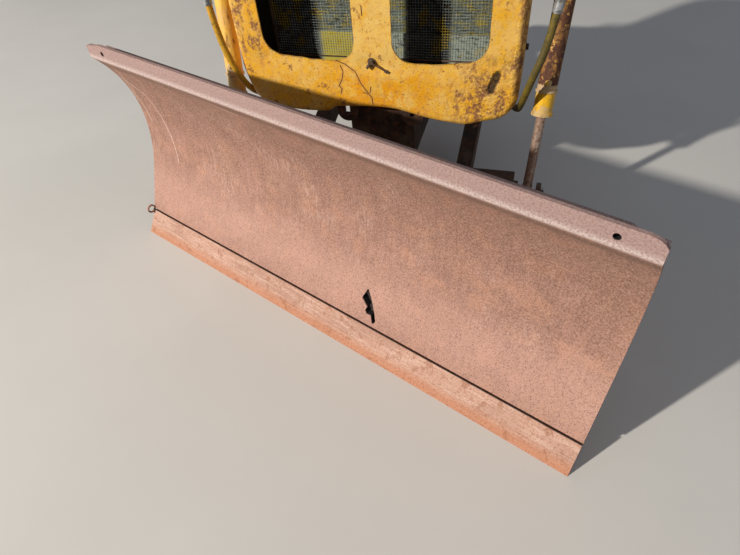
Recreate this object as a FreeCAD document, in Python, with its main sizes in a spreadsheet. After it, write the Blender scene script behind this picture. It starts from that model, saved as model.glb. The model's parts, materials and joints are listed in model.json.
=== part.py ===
"""Front end of a small crawler dozer: angled blade, push frame, lift cylinders and radiator guard.

Lengths are millimetres. +X is the operator's left, -Y is forward, +Z is up. The origin is the
centre of the bolt pattern on the rear face of the bulkhead, where the rest of the tractor bolts on.
"""
import FreeCAD, Part
import math
import os
from FreeCAD import Placement, Rotation, Vector

# Driving sizes: sheet name, value, what it is.
SIZES = [
    ("ground_drop", 500, "ground below the origin"),
    ("blade_length", 1830, "blade, end to end"),
    ("blade_turn", 22.3, "blade angle at rest, degrees"),
    ("plate_wall", 10, "mouldboard plate"),
    ("edge_rise", 86, "height of the cutting edge's top"),
    ("edge_run", 57, "how far that top lies behind the edge"),
    ("edge_wall", 14, "cutting edge plate"),
    ("edge_groove", 6, "open groove above the cutting edge"),
    ("toe_tilt", 22.5, "lean of the mouldboard's straight foot, degrees"),
    ("toe_length", 189, "straight foot of the mouldboard"),
    ("low_radius", 534, "lower curve of the mouldboard"),
    ("high_radius", 365, "upper curve of the mouldboard"),
    ("lip_start", 716, "height of the bend below the lip"),
    ("lip_height", 53, "flat lip above the bend"),
    ("lip_seam", 8, "weld between the plate and the lip strip, above the bend"),
    ("bend_radius", 12, "rounding of that bend"),
    ("lip_hole_radius", 8, "two holes in the lip"),
    ("lip_hole_inset", 86, "their distance from the blade's ends"),
    ("clip_length", 80, "bent-off corner of the lip, along it"),
    ("clip_drop", 14, "and down"),
    ("backing_wall", 14, "bar behind the groove"),
    ("backing_reach", 120, "how far it runs up the mouldboard"),
    ("stiffener_wall", 10, "angle bar behind the lip"),
    ("stiffener_leg", 60, "its lower leg"),
    ("rib_wall", 12, "ribs on the blade's back"),
    ("rib_back", 232, "rear edge of the ribs behind the cutting edge"),
    ("rib_pitch", 305, "distance between ribs"),
    ("end_inset", 6, "outer ribs and back bar inside the blade's ends"),
    ("rail_bar_low", 380, "flat bar across the ribs, its lower edge above ground"),
    ("rail_bar_height", 90, "and its height"),
    ("pivot_setback", 198, "king pin behind the cutting edge"),
    ("king_pin_at", 1567, "king pin ahead of the origin"),
    ("king_pin_radius", 22, "king pin"),
    ("pin_clearance", 0.06, "radial running clearance"),
    ("ear_wall", 20, "pivot ears on the blade"),
    ("low_ear_rise", 98, "underside of the lower ear above ground"),
    ("high_ear_rise", 264, "underside of the upper ear above ground"),
    ("ear_gap", 2, "between the ears and the nose boss"),
    ("ear_radius", 52, "rounding of the ears"),
    ("ear_half", 150, "half width of the lower ear at the mouldboard"),
    ("fan_half", 200, "half width of the upper ear at the mouldboard"),
    ("web_out", 120, "upright webs, sideways from the king pin"),
    ("web_short", 10, "webs end ahead of the king pin's centre"),
    ("fan_radius", 190, "rear edge of the upper ear's sector"),
    ("slot_radius", 150, "curved slot from the king pin"),
    ("swing_half", 25, "blade angle each side of square, degrees"),
    ("clamp_radius", 12, "clamp bolt"),
    ("slot_play", 2, "between the clamp bolt and its slot"),
    ("fan_past", 14, "sector past the end of the bolt's travel, degrees"),
    ("ring_radius", 18, "small link welded to the blade's right end"),
    ("ring_wall", 6, "its steel"),
    ("ring_lap", 5, "how far it laps over the end of the mouldboard"),
    ("pin_head", 16, "king pin's head, and the clamp bolt's nut"),
    ("pin_past", 24, "king pin below the lower ear"),
    ("clamp_past", 34, "clamp bolt above the upper ear"),
    ("washer_wall", 5, "washer under its nut"),
    ("boss_radius", 46, "nose boss round the king pin"),
    ("nose_wall", 14, "nose plates"),
    ("nose_half", 74, "half width of the nose"),
    ("nose_slope", 150, "sloping part of its top, ahead of the cross beam"),
    ("nose_step", 10, "its top plate below the boss's top"),
    ("boss_lap", 15, "its webs inside the boss"),
    ("beam_front", 1120, "cross beam's front face ahead of the origin"),
    ("beam_depth", 120, "cross beam, front to back"),
    ("beam_low", -400, "its underside"),
    ("beam_height", 90, "its height"),
    ("beam_wall", 10, "its wall"),
    ("arm_inner", 300, "inner face of the push arms"),
    ("arm_width", 60, "push arms"),
    ("trunnion_ahead", 100, "push frame hinge ahead of the origin"),
    ("trunnion_drop", 140, "and below it"),
    ("trunnion_radius", 30, "trunnion pin"),
    ("trunnion_boss", 55, "boss at the end of each push arm"),
    ("arm_shoulder", 8, "arm's edges inside that boss"),
    ("hanger_half", 75, "half width of the trunnion's hanger"),
    ("hanger_foot", 50, "half width of its foot"),
    ("hanger_past", 40, "hanger below the trunnion pin"),
    ("trunnion_spacer", 15, "boss on the hanger"),
    ("cap_wall", 10, "cap on the trunnion pin"),
    ("cap_proud", 12, "cap past the pin"),
    ("side_play", 5, "between moving pieces, side by side"),
    ("barrel_pin_out", 112, "barrel's pin, beside the guard"),
    ("barrel_pin_ahead", 830, "barrel's pin, forwards"),
    ("barrel_pin_up", 550, "barrel's pin, upwards"),
    ("rod_pin_in", 36, "rod's pin, further in than the barrel's"),
    ("rod_pin_ahead", 1060, "rod's pin, forwards"),
    ("rod_pin_up", -360, "rod's pin, upwards"),
    ("barrel_radius", 33, "cylinder barrel"),
    ("barrel_wall", 6, "its wall"),
    ("barrel_eye_width", 66, "its eye"),
    ("barrel_pin_radius", 19, "its pin"),
    ("head_start", 22, "barrel's closed end, from its pin"),
    ("head_length", 40, "and its thickness"),
    ("ring_proud", 4, "collar and gland ring past the barrel"),
    ("collar_length", 9, "collar above the gland"),
    ("gland_ring", 12, "raised ring at the gland's lower end"),
    ("gland_start", 564, "gland sleeve, from the barrel's pin"),
    ("gland_length", 80, "gland sleeve"),
    ("rod_radius", 17, "rod"),
    ("rod_hidden", 220, "rod inside the barrel at rest"),
    ("rod_eye_width", 40, "rod's eye"),
    ("rod_eye_radius", 33, "rod's eye, outside"),
    ("rod_pin_radius", 16, "rod's pin"),
    ("rod_pin_play", 3.3, "round the rod's pin, for the drift of its eye"),
    ("lug_gap", 70, "between the ears that hold the rod's eye"),
    ("lug_wall", 16, "those ears"),
    ("lug_margin", 26, "ear past its pin"),
    ("lug_pin_past", 12, "pin past the outer ear"),
    ("bracket_wall", 14, "cylinder bracket's plates"),
    ("bracket_half", 46, "half width of its ears"),
    ("bracket_rise", 50, "its ears above the pin"),
    ("bracket_foot", 10, "its foot plate on the guard"),
    ("foot_half", 75, "half width of that foot"),
    ("foot_drop", 90, "foot below the pin"),
    ("guard_half", 504, "half width of the radiator guard"),
    ("guard_face", 1037, "its face ahead of the origin"),
    ("guard_depth", 300, "its side panels, front to back"),
    ("guard_low", -95, "its lower edge at the corners"),
    ("guard_top", 850, "its top"),
    ("guard_arch", 25, "rise of the lower edge at the middle"),
    ("guard_wall", 6, "pressed sheet"),
    ("guard_corner", 105, "lower corners"),
    ("guard_crown", 90, "upper corners"),
    ("guard_edge", 28, "rolled front edge"),
    ("guard_return", 34, "lower edge turned back"),
    ("column_half", 67, "half the column between the windows"),
    ("window_margin", 112, "sheet outside each window"),
    ("window_low", 112, "its lower edge"),
    ("window_top", 760, "its upper edge"),
    ("window_corner", 72, "its corners"),
    ("mesh_lap", 14, "wire mesh past the window's edge"),
    ("mesh_wall", 3, "wire mesh panel"),
    ("mesh_pitch", 52, "stiffening bars of the mesh"),
    ("mesh_bar", 6, "their width"),
    ("radiator_ahead", 885, "radiator's front ahead of the origin"),
    ("radiator_depth", 100, "radiator, front to back"),
    ("channel_width", 68, "radiator's side channels"),
    ("core_inset", 15, "core and channels behind the tanks' faces"),
    ("channel_foot", 115, "side channels above the guard's lower edge"),
    ("radiator_height", 720, "its height above the rails"),
    ("tank_height", 90, "its top and bottom tanks"),
    ("seat_gap", 0.3, "between a seated piece and its seat"),
    ("member_low", -60, "underside of the front cross member and the rails"),
    ("member_height", 60, "front cross member"),
    ("member_margin", 64, "its ends inside the guard's sides"),
    ("member_front", 1000, "its front face ahead of the origin"),
    ("member_depth", 120, "front to back"),
    ("tow_out", 127, "tow lugs under it, from the middle"),
    ("tow_half", 42, "half their width"),
    ("tow_drop", 85, "their height"),
    ("tow_wall", 12, "their steel"),
    ("tow_hole_width", 19, "square hole for the shackle"),
    ("tow_hole_height", 33, "and its height"),
    ("tow_hole_drop", 19, "hole below the cross member"),
    ("rail_height", 120, "main frame rails"),
    ("rail_out", 260, "outer face of the rails"),
    ("rail_flange", 60, "their flanges"),
    ("rail_wall", 8, "their steel"),
    ("bulkhead_wall", 20, "bulkhead"),
    ("bolt_span", 580, "its bolt holes, across"),
    ("bolt_rise", 150, "its bolt holes, up"),
    ("bolt_hole_radius", 11, "its bolt holes"),
    ("bolt_margin_side", 40, "steel past the holes' middles, sideways"),
    ("bolt_margin_up", 35, "and above and below"),
    ("pan_half", 128, "half width of the belly pan"),
    ("pan_flange", 110, "flanges that hang it from the rails"),
    ("pan_front", 965, "its front ahead of the origin"),
    ("pan_back", 500, "its back end"),
    ("pan_low", -305, "its floor"),
    ("pan_wall", 8, "its steel"),
    ("pan_bevel", 40, "its bent front corner"),
    ("pan_slope", 60, "sloping back of its floor, along"),
    ("pan_climb", 90, "and up"),
    ("fitting_back", 60, "rail beside the hose fitting"),
    ("hose_radius", 12, "hydraulic hose"),
    ("ferrule_radius", 15, "crimped ferrule"),
    ("ferrule_length", 55, "its length"),
    ("tube_radius", 9, "steel tube above it"),
]

# Torn hole through the mouldboard and the bar behind it: along the blade from its middle, and up
# the plate from its foot.
TEAR = [
    (189, 126), (173, 86), (198, 63), (192, 49), (201, 38), (217, 39),
    (226, 15), (231, 15), (238, 26), (230, 50), (214, 86), (193, 123),
]

# Hose from the ferrule down beside the guard: out past the guard's side, forwards, up.
HOSE_ROUTE = [
    (79, 1044, 288), (68, 1052, 190), (37, 1062, 90), (12, 1020, -26), (2, 912, -102), (-38, 792, -130),
]
# The hose's end, to the fitting on the rail: out past the rail's face, forwards, up.
HOSE_END = [(125, 691, -103), (32, 650, -22)]
# Steel tube from the cylinder bracket to the ferrule: out past the guard's side, forwards, up.
TUBE_ROUTE = [(94, 905, 622), (94, 1010, 622)]

doc = FreeCAD.newDocument("dozer_front")
sheet = doc.addObject("Spreadsheet::Sheet", "Sizes")
for row, (alias, value, meaning) in enumerate(SIZES, start=1):
    sheet.set(f"A{row}", alias)
    sheet.set(f"B{row}", str(value))
    sheet.set(f"C{row}", meaning)
    sheet.setAlias(f"B{row}", alias)
doc.recompute()


class Sizes:
    """The sheet's values, read by name."""

    def __getattr__(self, alias):
        return float(sheet.get(alias))


S = Sizes()
nodes = []

# Places that several pieces share.
GROUND = -S.ground_drop
KING_PIN = Vector(0, -S.king_pin_at, 0)
TRUNNION = Vector(0, -S.trunnion_ahead, -S.trunnion_drop)
BARREL_PIN_OUT = S.guard_half + S.barrel_pin_out
ROD_PIN_OUT = BARREL_PIN_OUT - S.rod_pin_in
BEAM_HALF = ROD_PIN_OUT - S.lug_gap / 2 - S.lug_wall
BEAM_BACK = -S.beam_front + S.beam_depth
BEAM_TOP = S.beam_low + S.beam_height
BLADE_PLACE = Placement(Vector(0, -S.king_pin_at, GROUND), Rotation(Vector(0, 0, 1), -S.blade_turn))
BLADE_PLACE = BLADE_PLACE * Placement(Vector(0, -S.pivot_setback, 0), Rotation())


def flat(point):
    """A sketch point."""
    return Vector(point[0], point[1], 0)


def polygon(points):
    """Closed run of straight edges."""
    ends = points[1:] + points[:1]
    return [Part.LineSegment(flat(a), flat(b)) for a, b in zip(points, ends)]


def arc(start, middle, end):
    return Part.Arc(flat(start), flat(middle), flat(end))


def circle(centre, radius):
    return Part.Circle(flat(centre), Vector(0, 0, 1), radius)


def arched(start, end, rise):
    """Three tangent arcs from start to end, level at both and rise higher at the middle."""
    middle = (start[0] + end[0]) / 2
    quarter = (end[0] - start[0]) / 4
    low = start[1]
    radius = (quarter ** 2 + (rise / 2) ** 2) / rise
    half_turn = math.asin(quarter / radius) / 2
    dx, dy = radius * math.sin(half_turn), radius * (1 - math.cos(half_turn))
    left, right = (start[0] + quarter, low + rise / 2), (end[0] - quarter, low + rise / 2)
    return [
        arc(start, (start[0] + dx, low + dy), left),
        arc(left, (middle, low + rise), right),
        arc(right, (end[0] - dx, low + dy), end),
    ]


def rounded(low, high, low_radius, high_radius, arch=0):
    """Rectangle with round corners; its lower edge may rise by arch at the middle."""
    (left, bottom), (right, top) = low, high
    edges = []
    corners = [
        (right - low_radius, bottom + low_radius, low_radius, 270),
        (right - high_radius, top - high_radius, high_radius, 0),
        (left + high_radius, top - high_radius, high_radius, 90),
        (left + low_radius, bottom + low_radius, low_radius, 180),
    ]
    ends = []
    for x, y, radius, turn in corners:
        points = []
        for step in (0, 45, 90):
            angle = math.radians(turn + step)
            points.append((x + radius * math.cos(angle), y + radius * math.sin(angle)))
        edges.append(arc(*points))
        ends.append((points[0], points[2]))
    for (_, end), (start, _) in zip(ends[:-1], ends[1:]):
        edges.append(Part.LineSegment(flat(end), flat(start)))
    if arch:
        edges += arched(ends[-1][1], ends[0][0], arch)
    else:
        edges.append(Part.LineSegment(flat(ends[-1][1]), flat(ends[0][0])))
    return edges


def sketch_in(body, role, shapes, start):
    """Sketch on one of the body's own origin planes, start along that plane's axis."""
    sketch = body.newObject("Sketcher::SketchObject", "outline")
    plane = next(item for item in body.Origin.OriginFeatures if item.Role == role)
    sketch.AttachmentSupport = (plane, [""])
    sketch.MapMode = "FlatFace"
    towards = -1 if role == "XZ_Plane" else 1
    sketch.AttachmentOffset = Placement(Vector(0, 0, towards * start), Rotation())
    sketch.addGeometry(shapes, False)
    return sketch


def padded(label, role, shapes, start, depth, place=None):
    """Body with one pad from start along +X, +Y or +Z; depth is a formula on the sheet."""
    body = doc.addObject("PartDesign::Body", label)
    sketch = sketch_in(body, role, shapes, start)
    pad = body.newObject("PartDesign::Pad", "pad")
    pad.Profile = sketch
    pad.Reversed = role == "XZ_Plane"
    pad.setExpression("Length", depth)
    if place:
        body.Placement = place
    doc.recompute()
    return body


def pocketed(body, role, shapes):
    """Cut shapes right through the body, both ways from the plane."""
    before = body.Shape.Volume
    sketch = sketch_in(body, role, shapes, 0)
    pocket = body.newObject("PartDesign::Pocket", "pocket")
    pocket.Profile = sketch
    pocket.Type = "ThroughAll"
    pocket.Midplane = True
    doc.recompute()
    if not body.Shape.Volume < before:
        raise ValueError(f"{body.Label}: the pocket cuts nothing")
    return body


def filleted(body, radius, chosen):
    """Round the edges of the body's last feature that chosen picks."""
    base = body.Tip
    names = [f"Edge{i}" for i, edge in enumerate(base.Shape.Edges, start=1) if chosen(edge)]
    fillet = body.newObject("PartDesign::Fillet", "rounding")
    fillet.Base = (base, names)
    fillet.setExpression("Radius", radius)
    doc.recompute()
    if not names or "Invalid" in fillet.State:
        raise ValueError(f"{body.Label}: no rounding on {names}")
    return body


def bar(name, radius, height, base, along):
    """Round bar from base; radius and height are formulas on the sheet."""
    item = doc.addObject("Part::Cylinder", name)
    item.setExpression("Radius", radius)
    item.setExpression("Height", height)
    item.Placement = Placement(base, Rotation(Vector(0, 0, 1), along))
    return item


def block(name, low, high):
    """Plain box between two corners."""
    item = doc.addObject("Part::Box", name)
    item.Length, item.Width, item.Height = [high[i] - low[i] for i in range(3)]
    item.Placement = Placement(Vector(*low), Rotation())
    return item


def fused(name, items):
    item = doc.addObject("Part::MultiFuse", name)
    item.Shapes = items
    item.Refine = True
    doc.recompute()
    return item


def cut(name, base, tool):
    item = doc.addObject("Part::Cut", name)
    item.Base = base
    item.Tool = tool
    item.Refine = True
    doc.recompute()
    return item


def keep(item, label):
    """The finished sub-part: its label names its file."""
    item.Label = label
    nodes.append(item)
    return item


def routed(label, points, radius):
    """Tube along straight runs joined by tangent arcs."""
    edges = []
    here = points[0]
    radii = []
    for before, corner, after in zip(points, points[1:], points[2:]):
        run_in, run_out = corner - before, after - corner
        turn = run_in.getAngle(run_out)
        reach = 0.45 * min(run_in.Length, run_out.Length)
        radii.append(round(reach / math.tan(turn / 2)))
        to_corner = Vector(run_in).normalize()
        from_corner = Vector(run_out).normalize()
        start = corner - to_corner * reach
        end = corner + from_corner * reach
        inward = (from_corner - to_corner).normalize()
        radius_here = reach / math.tan(turn / 2)
        middle = corner + inward * (radius_here / math.cos(turn / 2) - radius_here)
        edges.append(Part.LineSegment(here, start).toShape())
        edges.append(Part.Arc(start, middle, end).toShape())
        here = end
    edges.append(Part.LineSegment(here, points[-1]).toShape())
    path = Part.Wire(edges)
    first = (points[1] - points[0]).normalize()
    section = Part.Wire(Part.Circle(points[0], first, radius).toShape())
    tube = path.makePipeShell([section], True, True)
    expected = math.pi * radius ** 2 * path.Length
    if abs(tube.Volume / expected - 1) > 0.01:
        raise ValueError(f"{label}: the tube's volume is off")
    print(label, "length", round(path.Length), "arc radii", radii)
    item = doc.addObject("Part::Feature", label)
    item.Shape = tube
    return item


def lying(x, ahead, up):
    """A point given as out, forwards, up."""
    return Vector(x, -ahead, up)


# The mouldboard's section, behind (y) and above (z) the cutting edge.
TILT = math.radians(S.toe_tilt)
FOOT = (S.edge_run, S.edge_rise)
UP_TOE = (math.sin(TILT), math.cos(TILT))
BEHIND_TOE = (math.cos(TILT), -math.sin(TILT))
TOE_END = (FOOT[0] + S.toe_length * UP_TOE[0], FOOT[1] + S.toe_length * UP_TOE[1])
LOW_CENTRE = (TOE_END[0] - S.low_radius * BEHIND_TOE[0], TOE_END[1] - S.low_radius * BEHIND_TOE[1])
HIGH_CENTRE = (LOW_CENTRE[0] + S.low_radius - S.high_radius, LOW_CENTRE[1])
LIP_TURN = math.asin((S.lip_start - HIGH_CENTRE[1]) / S.high_radius)
LIP_FRONT = HIGH_CENTRE[0] + S.high_radius * math.cos(LIP_TURN)
LIP_TOP = S.lip_start + S.lip_height


def on_toe(up, behind):
    """A point of the straight foot, up along it and behind its front face."""
    return (
        FOOT[0] + up * UP_TOE[0] + behind * BEHIND_TOE[0],
        FOOT[1] + up * UP_TOE[1] + behind * BEHIND_TOE[1],
    )


def on_low_curve(angle, behind):
    reach = S.low_radius + behind
    return (LOW_CENTRE[0] + reach * math.cos(angle), LOW_CENTRE[1] - reach * math.sin(angle))


def on_high_curve(angle, behind):
    reach = S.high_radius + behind
    return (HIGH_CENTRE[0] + reach * math.cos(angle), HIGH_CENTRE[1] + reach * math.sin(angle))


def low_angle(height, behind):
    """Angle on the lower curve at a height above ground."""
    return math.asin((LOW_CENTRE[1] - height) / (S.low_radius + behind))


LIP_BACK = LIP_FRONT + S.plate_wall
BACK_TURN = math.acos((LIP_BACK - HIGH_CENTRE[0]) / (S.high_radius + S.plate_wall))
BACK_BEND = on_high_curve(BACK_TURN, S.plate_wall)
SEAM = S.lip_start + S.lip_seam


def full_width(label, outline):
    """Piece of the blade's own section, from end to end."""
    return padded(label, "YZ_Plane", outline, -S.blade_length / 2, "Sizes.blade_length", BLADE_PLACE)


def torn(body):
    """Cut the torn hole through a piece of the blade."""
    return pocketed(body, "XZ_Plane", polygon([(along, on_toe(up, 0)[1]) for along, up in TEAR]))


def make_mouldboard():
    """Rolled plate, with a small link welded flat on its right end."""
    wall = S.plate_wall
    foot = S.edge_groove / 2
    outline = [
        Part.LineSegment(flat(on_toe(foot, wall)), flat(on_toe(foot, 0))),
        Part.LineSegment(flat(on_toe(foot, 0)), flat(TOE_END)),
        arc(TOE_END, on_low_curve(TILT / 2, 0), on_low_curve(0, 0)),
        arc(on_low_curve(0, 0), on_high_curve(LIP_TURN / 2, 0), (LIP_FRONT, S.lip_start)),
        Part.LineSegment(flat((LIP_FRONT, S.lip_start)), flat((LIP_FRONT, SEAM))),
        Part.LineSegment(flat((LIP_FRONT, SEAM)), flat((LIP_BACK, SEAM))),
        Part.LineSegment(flat((LIP_BACK, SEAM)), flat(BACK_BEND)),
        arc(BACK_BEND, on_high_curve(BACK_TURN / 2, wall), on_high_curve(0, wall)),
        arc(on_low_curve(0, wall), on_low_curve(TILT / 2, wall), on_toe(S.toe_length, wall)),
        Part.LineSegment(flat(on_toe(S.toe_length, wall)), flat(on_toe(foot, wall))),
    ]
    body = full_width("rolled_plate", outline)

    def front_bend(edge):
        return all(
            abs(vertex.Y - LIP_FRONT) < 0.1 and abs(vertex.Z - S.lip_start) < 0.1
            for vertex in edge.Vertexes
        )

    filleted(body, "Sizes.bend_radius", front_bend)
    centre = on_toe(0, S.ring_lap - S.ring_radius)
    at = Vector(-S.blade_length / 2, *centre)
    out = Vector(-1, 0, 0)
    ring = bar("ring_outside", "Sizes.ring_radius", "Sizes.ring_wall", at, out)
    hole = bar("ring_inside", "Sizes.ring_radius - Sizes.ring_wall", "Sizes.ring_wall", at, out)
    link = cut("ring", ring, hole)
    link.Placement = BLADE_PLACE
    keep(fused("plate_and_ring", [torn(body), link]), "mouldboard")


def lip_holes():
    """Outlines of the two holes through the lip and the angle bar behind it."""
    hole_x = S.blade_length / 2 - S.lip_hole_inset
    hole_z = S.lip_start + S.lip_height / 2
    return [circle((side * hole_x, hole_z), S.lip_hole_radius) for side in (-1, 1)]


def make_lip():
    """Upright strip welded along the rolled plate; its right corner is bent off."""
    half = S.blade_length / 2
    outline = polygon([(LIP_FRONT, SEAM), (LIP_FRONT, LIP_TOP), (LIP_BACK, LIP_TOP), (LIP_BACK, SEAM)])
    body = full_width("lip_strip", outline)
    pocketed(body, "XZ_Plane", lip_holes())
    corner = [(-half - S.clip_drop, LIP_TOP + S.clip_drop), (-half + S.clip_length, LIP_TOP + S.clip_drop)]
    corner += [(-half + S.clip_length, LIP_TOP), (-half, LIP_TOP - S.clip_drop)]
    corner += [(-half - S.clip_drop, LIP_TOP - S.clip_drop)]
    pocketed(body, "XZ_Plane", polygon(corner))
    keep(body, "lip_strip")


def make_cutting_edge():
    length = math.hypot(*FOOT)
    along = (FOOT[0] / length, FOOT[1] / length)
    behind = (along[1], -along[0])
    top = length - S.edge_groove / 2
    front_top = (top * along[0], top * along[1])
    back_top = (front_top[0] + S.edge_wall * behind[0], front_top[1] + S.edge_wall * behind[1])
    back_low = (S.edge_wall / behind[0], 0)
    outline = polygon([(0, 0), front_top, back_top, back_low])
    keep(full_width("cutting_edge", outline), "cutting_edge")
    return back_top, back_low


def make_backing(back_top, back_low):
    """Bar that closes the groove from behind."""
    middle = ((back_top[0] + back_low[0]) / 2, (back_top[1] + back_low[1]) / 2)
    wall = S.backing_wall
    outline = polygon([
        middle,
        back_top,
        on_toe(S.edge_groove / 2, S.plate_wall),
        on_toe(S.backing_reach, S.plate_wall),
        on_toe(S.backing_reach, S.plate_wall + wall),
        on_toe(0, S.plate_wall + wall),
        (middle[0] + wall, middle[1] - wall / 2),
    ])
    keep(torn(full_width("backing_bar", outline)), "backing_bar")


def make_lip_stiffener():
    wall = S.stiffener_wall
    low = BACK_BEND[1] + S.seat_gap
    high = LIP_TOP - S.clip_drop - 2 * S.seat_gap
    outline = polygon([
        (LIP_BACK, low),
        (LIP_BACK + S.stiffener_leg, low),
        (LIP_BACK + S.stiffener_leg, low + wall),
        (LIP_BACK + wall, low + wall),
        (LIP_BACK + wall, high),
        (LIP_BACK, high),
    ])
    body = full_width("lip_stiffener", outline)
    pocketed(body, "XZ_Plane", lip_holes())
    keep(body, "lip_stiffener")


def rib_outline():
    wall = S.plate_wall
    start = on_toe(S.backing_reach + S.seat_gap, wall)
    heel = on_toe(S.backing_reach + S.seat_gap, wall + S.backing_wall)
    high = BACK_BEND[1]
    leg = LIP_BACK + S.stiffener_leg
    bar_top = S.rail_bar_low + S.rail_bar_height
    return [
        Part.LineSegment(flat(start), flat(on_toe(S.toe_length, wall))),
        arc(on_toe(S.toe_length, wall), on_low_curve(TILT / 2, wall), on_low_curve(0, wall)),
        arc(on_high_curve(0, wall), on_high_curve(BACK_TURN / 2, wall), BACK_BEND),
        Part.LineSegment(flat(BACK_BEND), flat((leg, high))),
        Part.LineSegment(flat((leg, high)), flat((S.rib_back, bar_top))),
        Part.LineSegment(flat((S.rib_back, bar_top)), flat((S.rib_back, S.rail_bar_low))),
        Part.LineSegment(flat((S.rib_back, S.rail_bar_low)), flat(heel)),
        Part.LineSegment(flat(heel), flat(start)),
    ]


def make_ribs():
    last = S.blade_length / 2 - S.rib_wall / 2 - S.end_inset
    ribs = []
    for side in (-1, 1):
        for number, place in enumerate((S.rib_pitch, 2 * S.rib_pitch, last), start=1):
            start = side * place - S.rib_wall / 2
            name = f"rib_{'left' if side > 0 else 'right'}_{number}"
            ribs.append(padded(name, "YZ_Plane", rib_outline(), start, "Sizes.rib_wall", BLADE_PLACE))
    for side, group in (("right", ribs[:3]), ("left", ribs[3:])):
        keep(fused(f"back_ribs_{side}", group), f"back_ribs_{side}")
    outline = polygon([
        (S.rib_back, S.rail_bar_low),
        (S.rib_back + S.rib_wall, S.rail_bar_low),
        (S.rib_back + S.rib_wall, S.rail_bar_low + S.rail_bar_height),
        (S.rib_back, S.rail_bar_low + S.rail_bar_height),
    ])
    start = S.end_inset - S.blade_length / 2
    length = "Sizes.blade_length - 2 * Sizes.end_inset"
    keep(padded("back_bar", "YZ_Plane", outline, start, length, BLADE_PLACE), "back_bar")


def make_pivot_ears():
    """Two ears round the king pin; the upper one carries the curved clamp slot."""
    pin = (0, S.pivot_setback)
    bore = circle(pin, S.king_pin_radius + S.pin_clearance)
    behind_bar = S.plate_wall + S.backing_wall
    top = S.low_ear_rise + S.ear_wall
    front_low = on_toe((top - S.edge_rise + behind_bar * UP_TOE[0]) / UP_TOE[1], behind_bar)[0]
    outline = [
        Part.LineSegment(flat((-S.ear_half, front_low)), flat((S.ear_half, front_low))),
        Part.LineSegment(flat((S.ear_half, front_low)), flat((S.ear_radius, pin[1]))),
        arc((S.ear_radius, pin[1]), (0, pin[1] + S.ear_radius), (-S.ear_radius, pin[1])),
        Part.LineSegment(flat((-S.ear_radius, pin[1])), flat((-S.ear_half, front_low))),
        bore,
    ]
    low = padded("pivot_ear_low", "XY_Plane", outline, S.low_ear_rise, "Sizes.ear_wall", BLADE_PLACE)
    keep(low, "pivot_ear_low")

    top = S.high_ear_rise + S.ear_wall
    front_high = on_low_curve(low_angle(top, S.plate_wall), S.plate_wall)[0]
    spread = math.radians(S.swing_half + S.fan_past)

    def round_pin(radius, angle):
        return (pin[0] + radius * math.sin(angle), pin[1] + radius * math.cos(angle))

    right, left = round_pin(S.fan_radius, spread), round_pin(S.fan_radius, -spread)
    half_slot = S.clamp_radius + S.slot_play
    travel = math.radians(S.swing_half)
    inner, outer = S.slot_radius - half_slot, S.slot_radius + half_slot
    ends = []
    for side in (1, -1):
        centre = round_pin(S.slot_radius, side * travel)
        tip = (centre[0] + half_slot * side * math.cos(travel), centre[1] - half_slot * math.sin(travel))
        ends.append(tip)
    outline = [
        Part.LineSegment(flat((-S.fan_half, front_high)), flat((S.fan_half, front_high))),
        Part.LineSegment(flat((S.fan_half, front_high)), flat(right)),
        arc(right, round_pin(S.fan_radius, 0), left),
        Part.LineSegment(flat(left), flat((-S.fan_half, front_high))),
        circle(pin, S.king_pin_radius + S.pin_clearance),
        arc(round_pin(outer, travel), round_pin(outer, 0), round_pin(outer, -travel)),
        arc(round_pin(outer, -travel), ends[1], round_pin(inner, -travel)),
        arc(round_pin(inner, -travel), round_pin(inner, 0), round_pin(inner, travel)),
        arc(round_pin(inner, travel), ends[0], round_pin(outer, travel)),
    ]
    high = padded("pivot_ear_high", "XY_Plane", outline, S.high_ear_rise, "Sizes.ear_wall", BLADE_PLACE)
    keep(high, "pivot_ear_high")


def make_pivot_webs():
    """Two upright plates that tie the ears to the mouldboard."""
    wall = S.plate_wall
    behind_bar = wall + S.backing_wall
    low = S.low_ear_rise + S.ear_wall
    high = S.high_ear_rise
    up_low = (low - S.edge_rise + behind_bar * UP_TOE[0]) / UP_TOE[1]
    top = on_low_curve(low_angle(high, wall), wall)
    bend = on_toe(S.toe_length, wall)
    half_way = on_low_curve((TILT + low_angle(high, wall)) / 2, wall)
    rear = S.pivot_setback - S.web_short
    outline = [
        Part.LineSegment(flat((rear, low)), flat(on_toe(up_low, behind_bar))),
        Part.LineSegment(flat(on_toe(up_low, behind_bar)), flat(on_toe(S.backing_reach, behind_bar))),
        Part.LineSegment(flat(on_toe(S.backing_reach, behind_bar)), flat(on_toe(S.backing_reach, wall))),
        Part.LineSegment(flat(on_toe(S.backing_reach, wall)), flat(bend)),
        arc(bend, half_way, top),
        Part.LineSegment(flat(top), flat((rear, high))),
        Part.LineSegment(flat((rear, high)), flat((rear, low))),
    ]
    webs = []
    for side in (-1, 1):
        start = side * S.web_out - S.nose_wall / 2
        webs.append(padded("web", "YZ_Plane", outline, start, "Sizes.nose_wall", BLADE_PLACE))
    keep(fused("pivot_webs", webs), "pivot_webs")


def make_blade():
    make_mouldboard()
    make_lip()
    back_top, back_low = make_cutting_edge()
    make_backing(back_top, back_low)
    make_lip_stiffener()
    make_ribs()
    make_pivot_ears()
    make_pivot_webs()


BOSS_LOW = GROUND + S.low_ear_rise + S.ear_wall + S.ear_gap
BOSS_HIGH = GROUND + S.high_ear_rise - S.ear_gap
NOSE_TOP = BOSS_HIGH - S.nose_step
NOSE_LOW = BOSS_LOW + S.side_play


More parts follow.
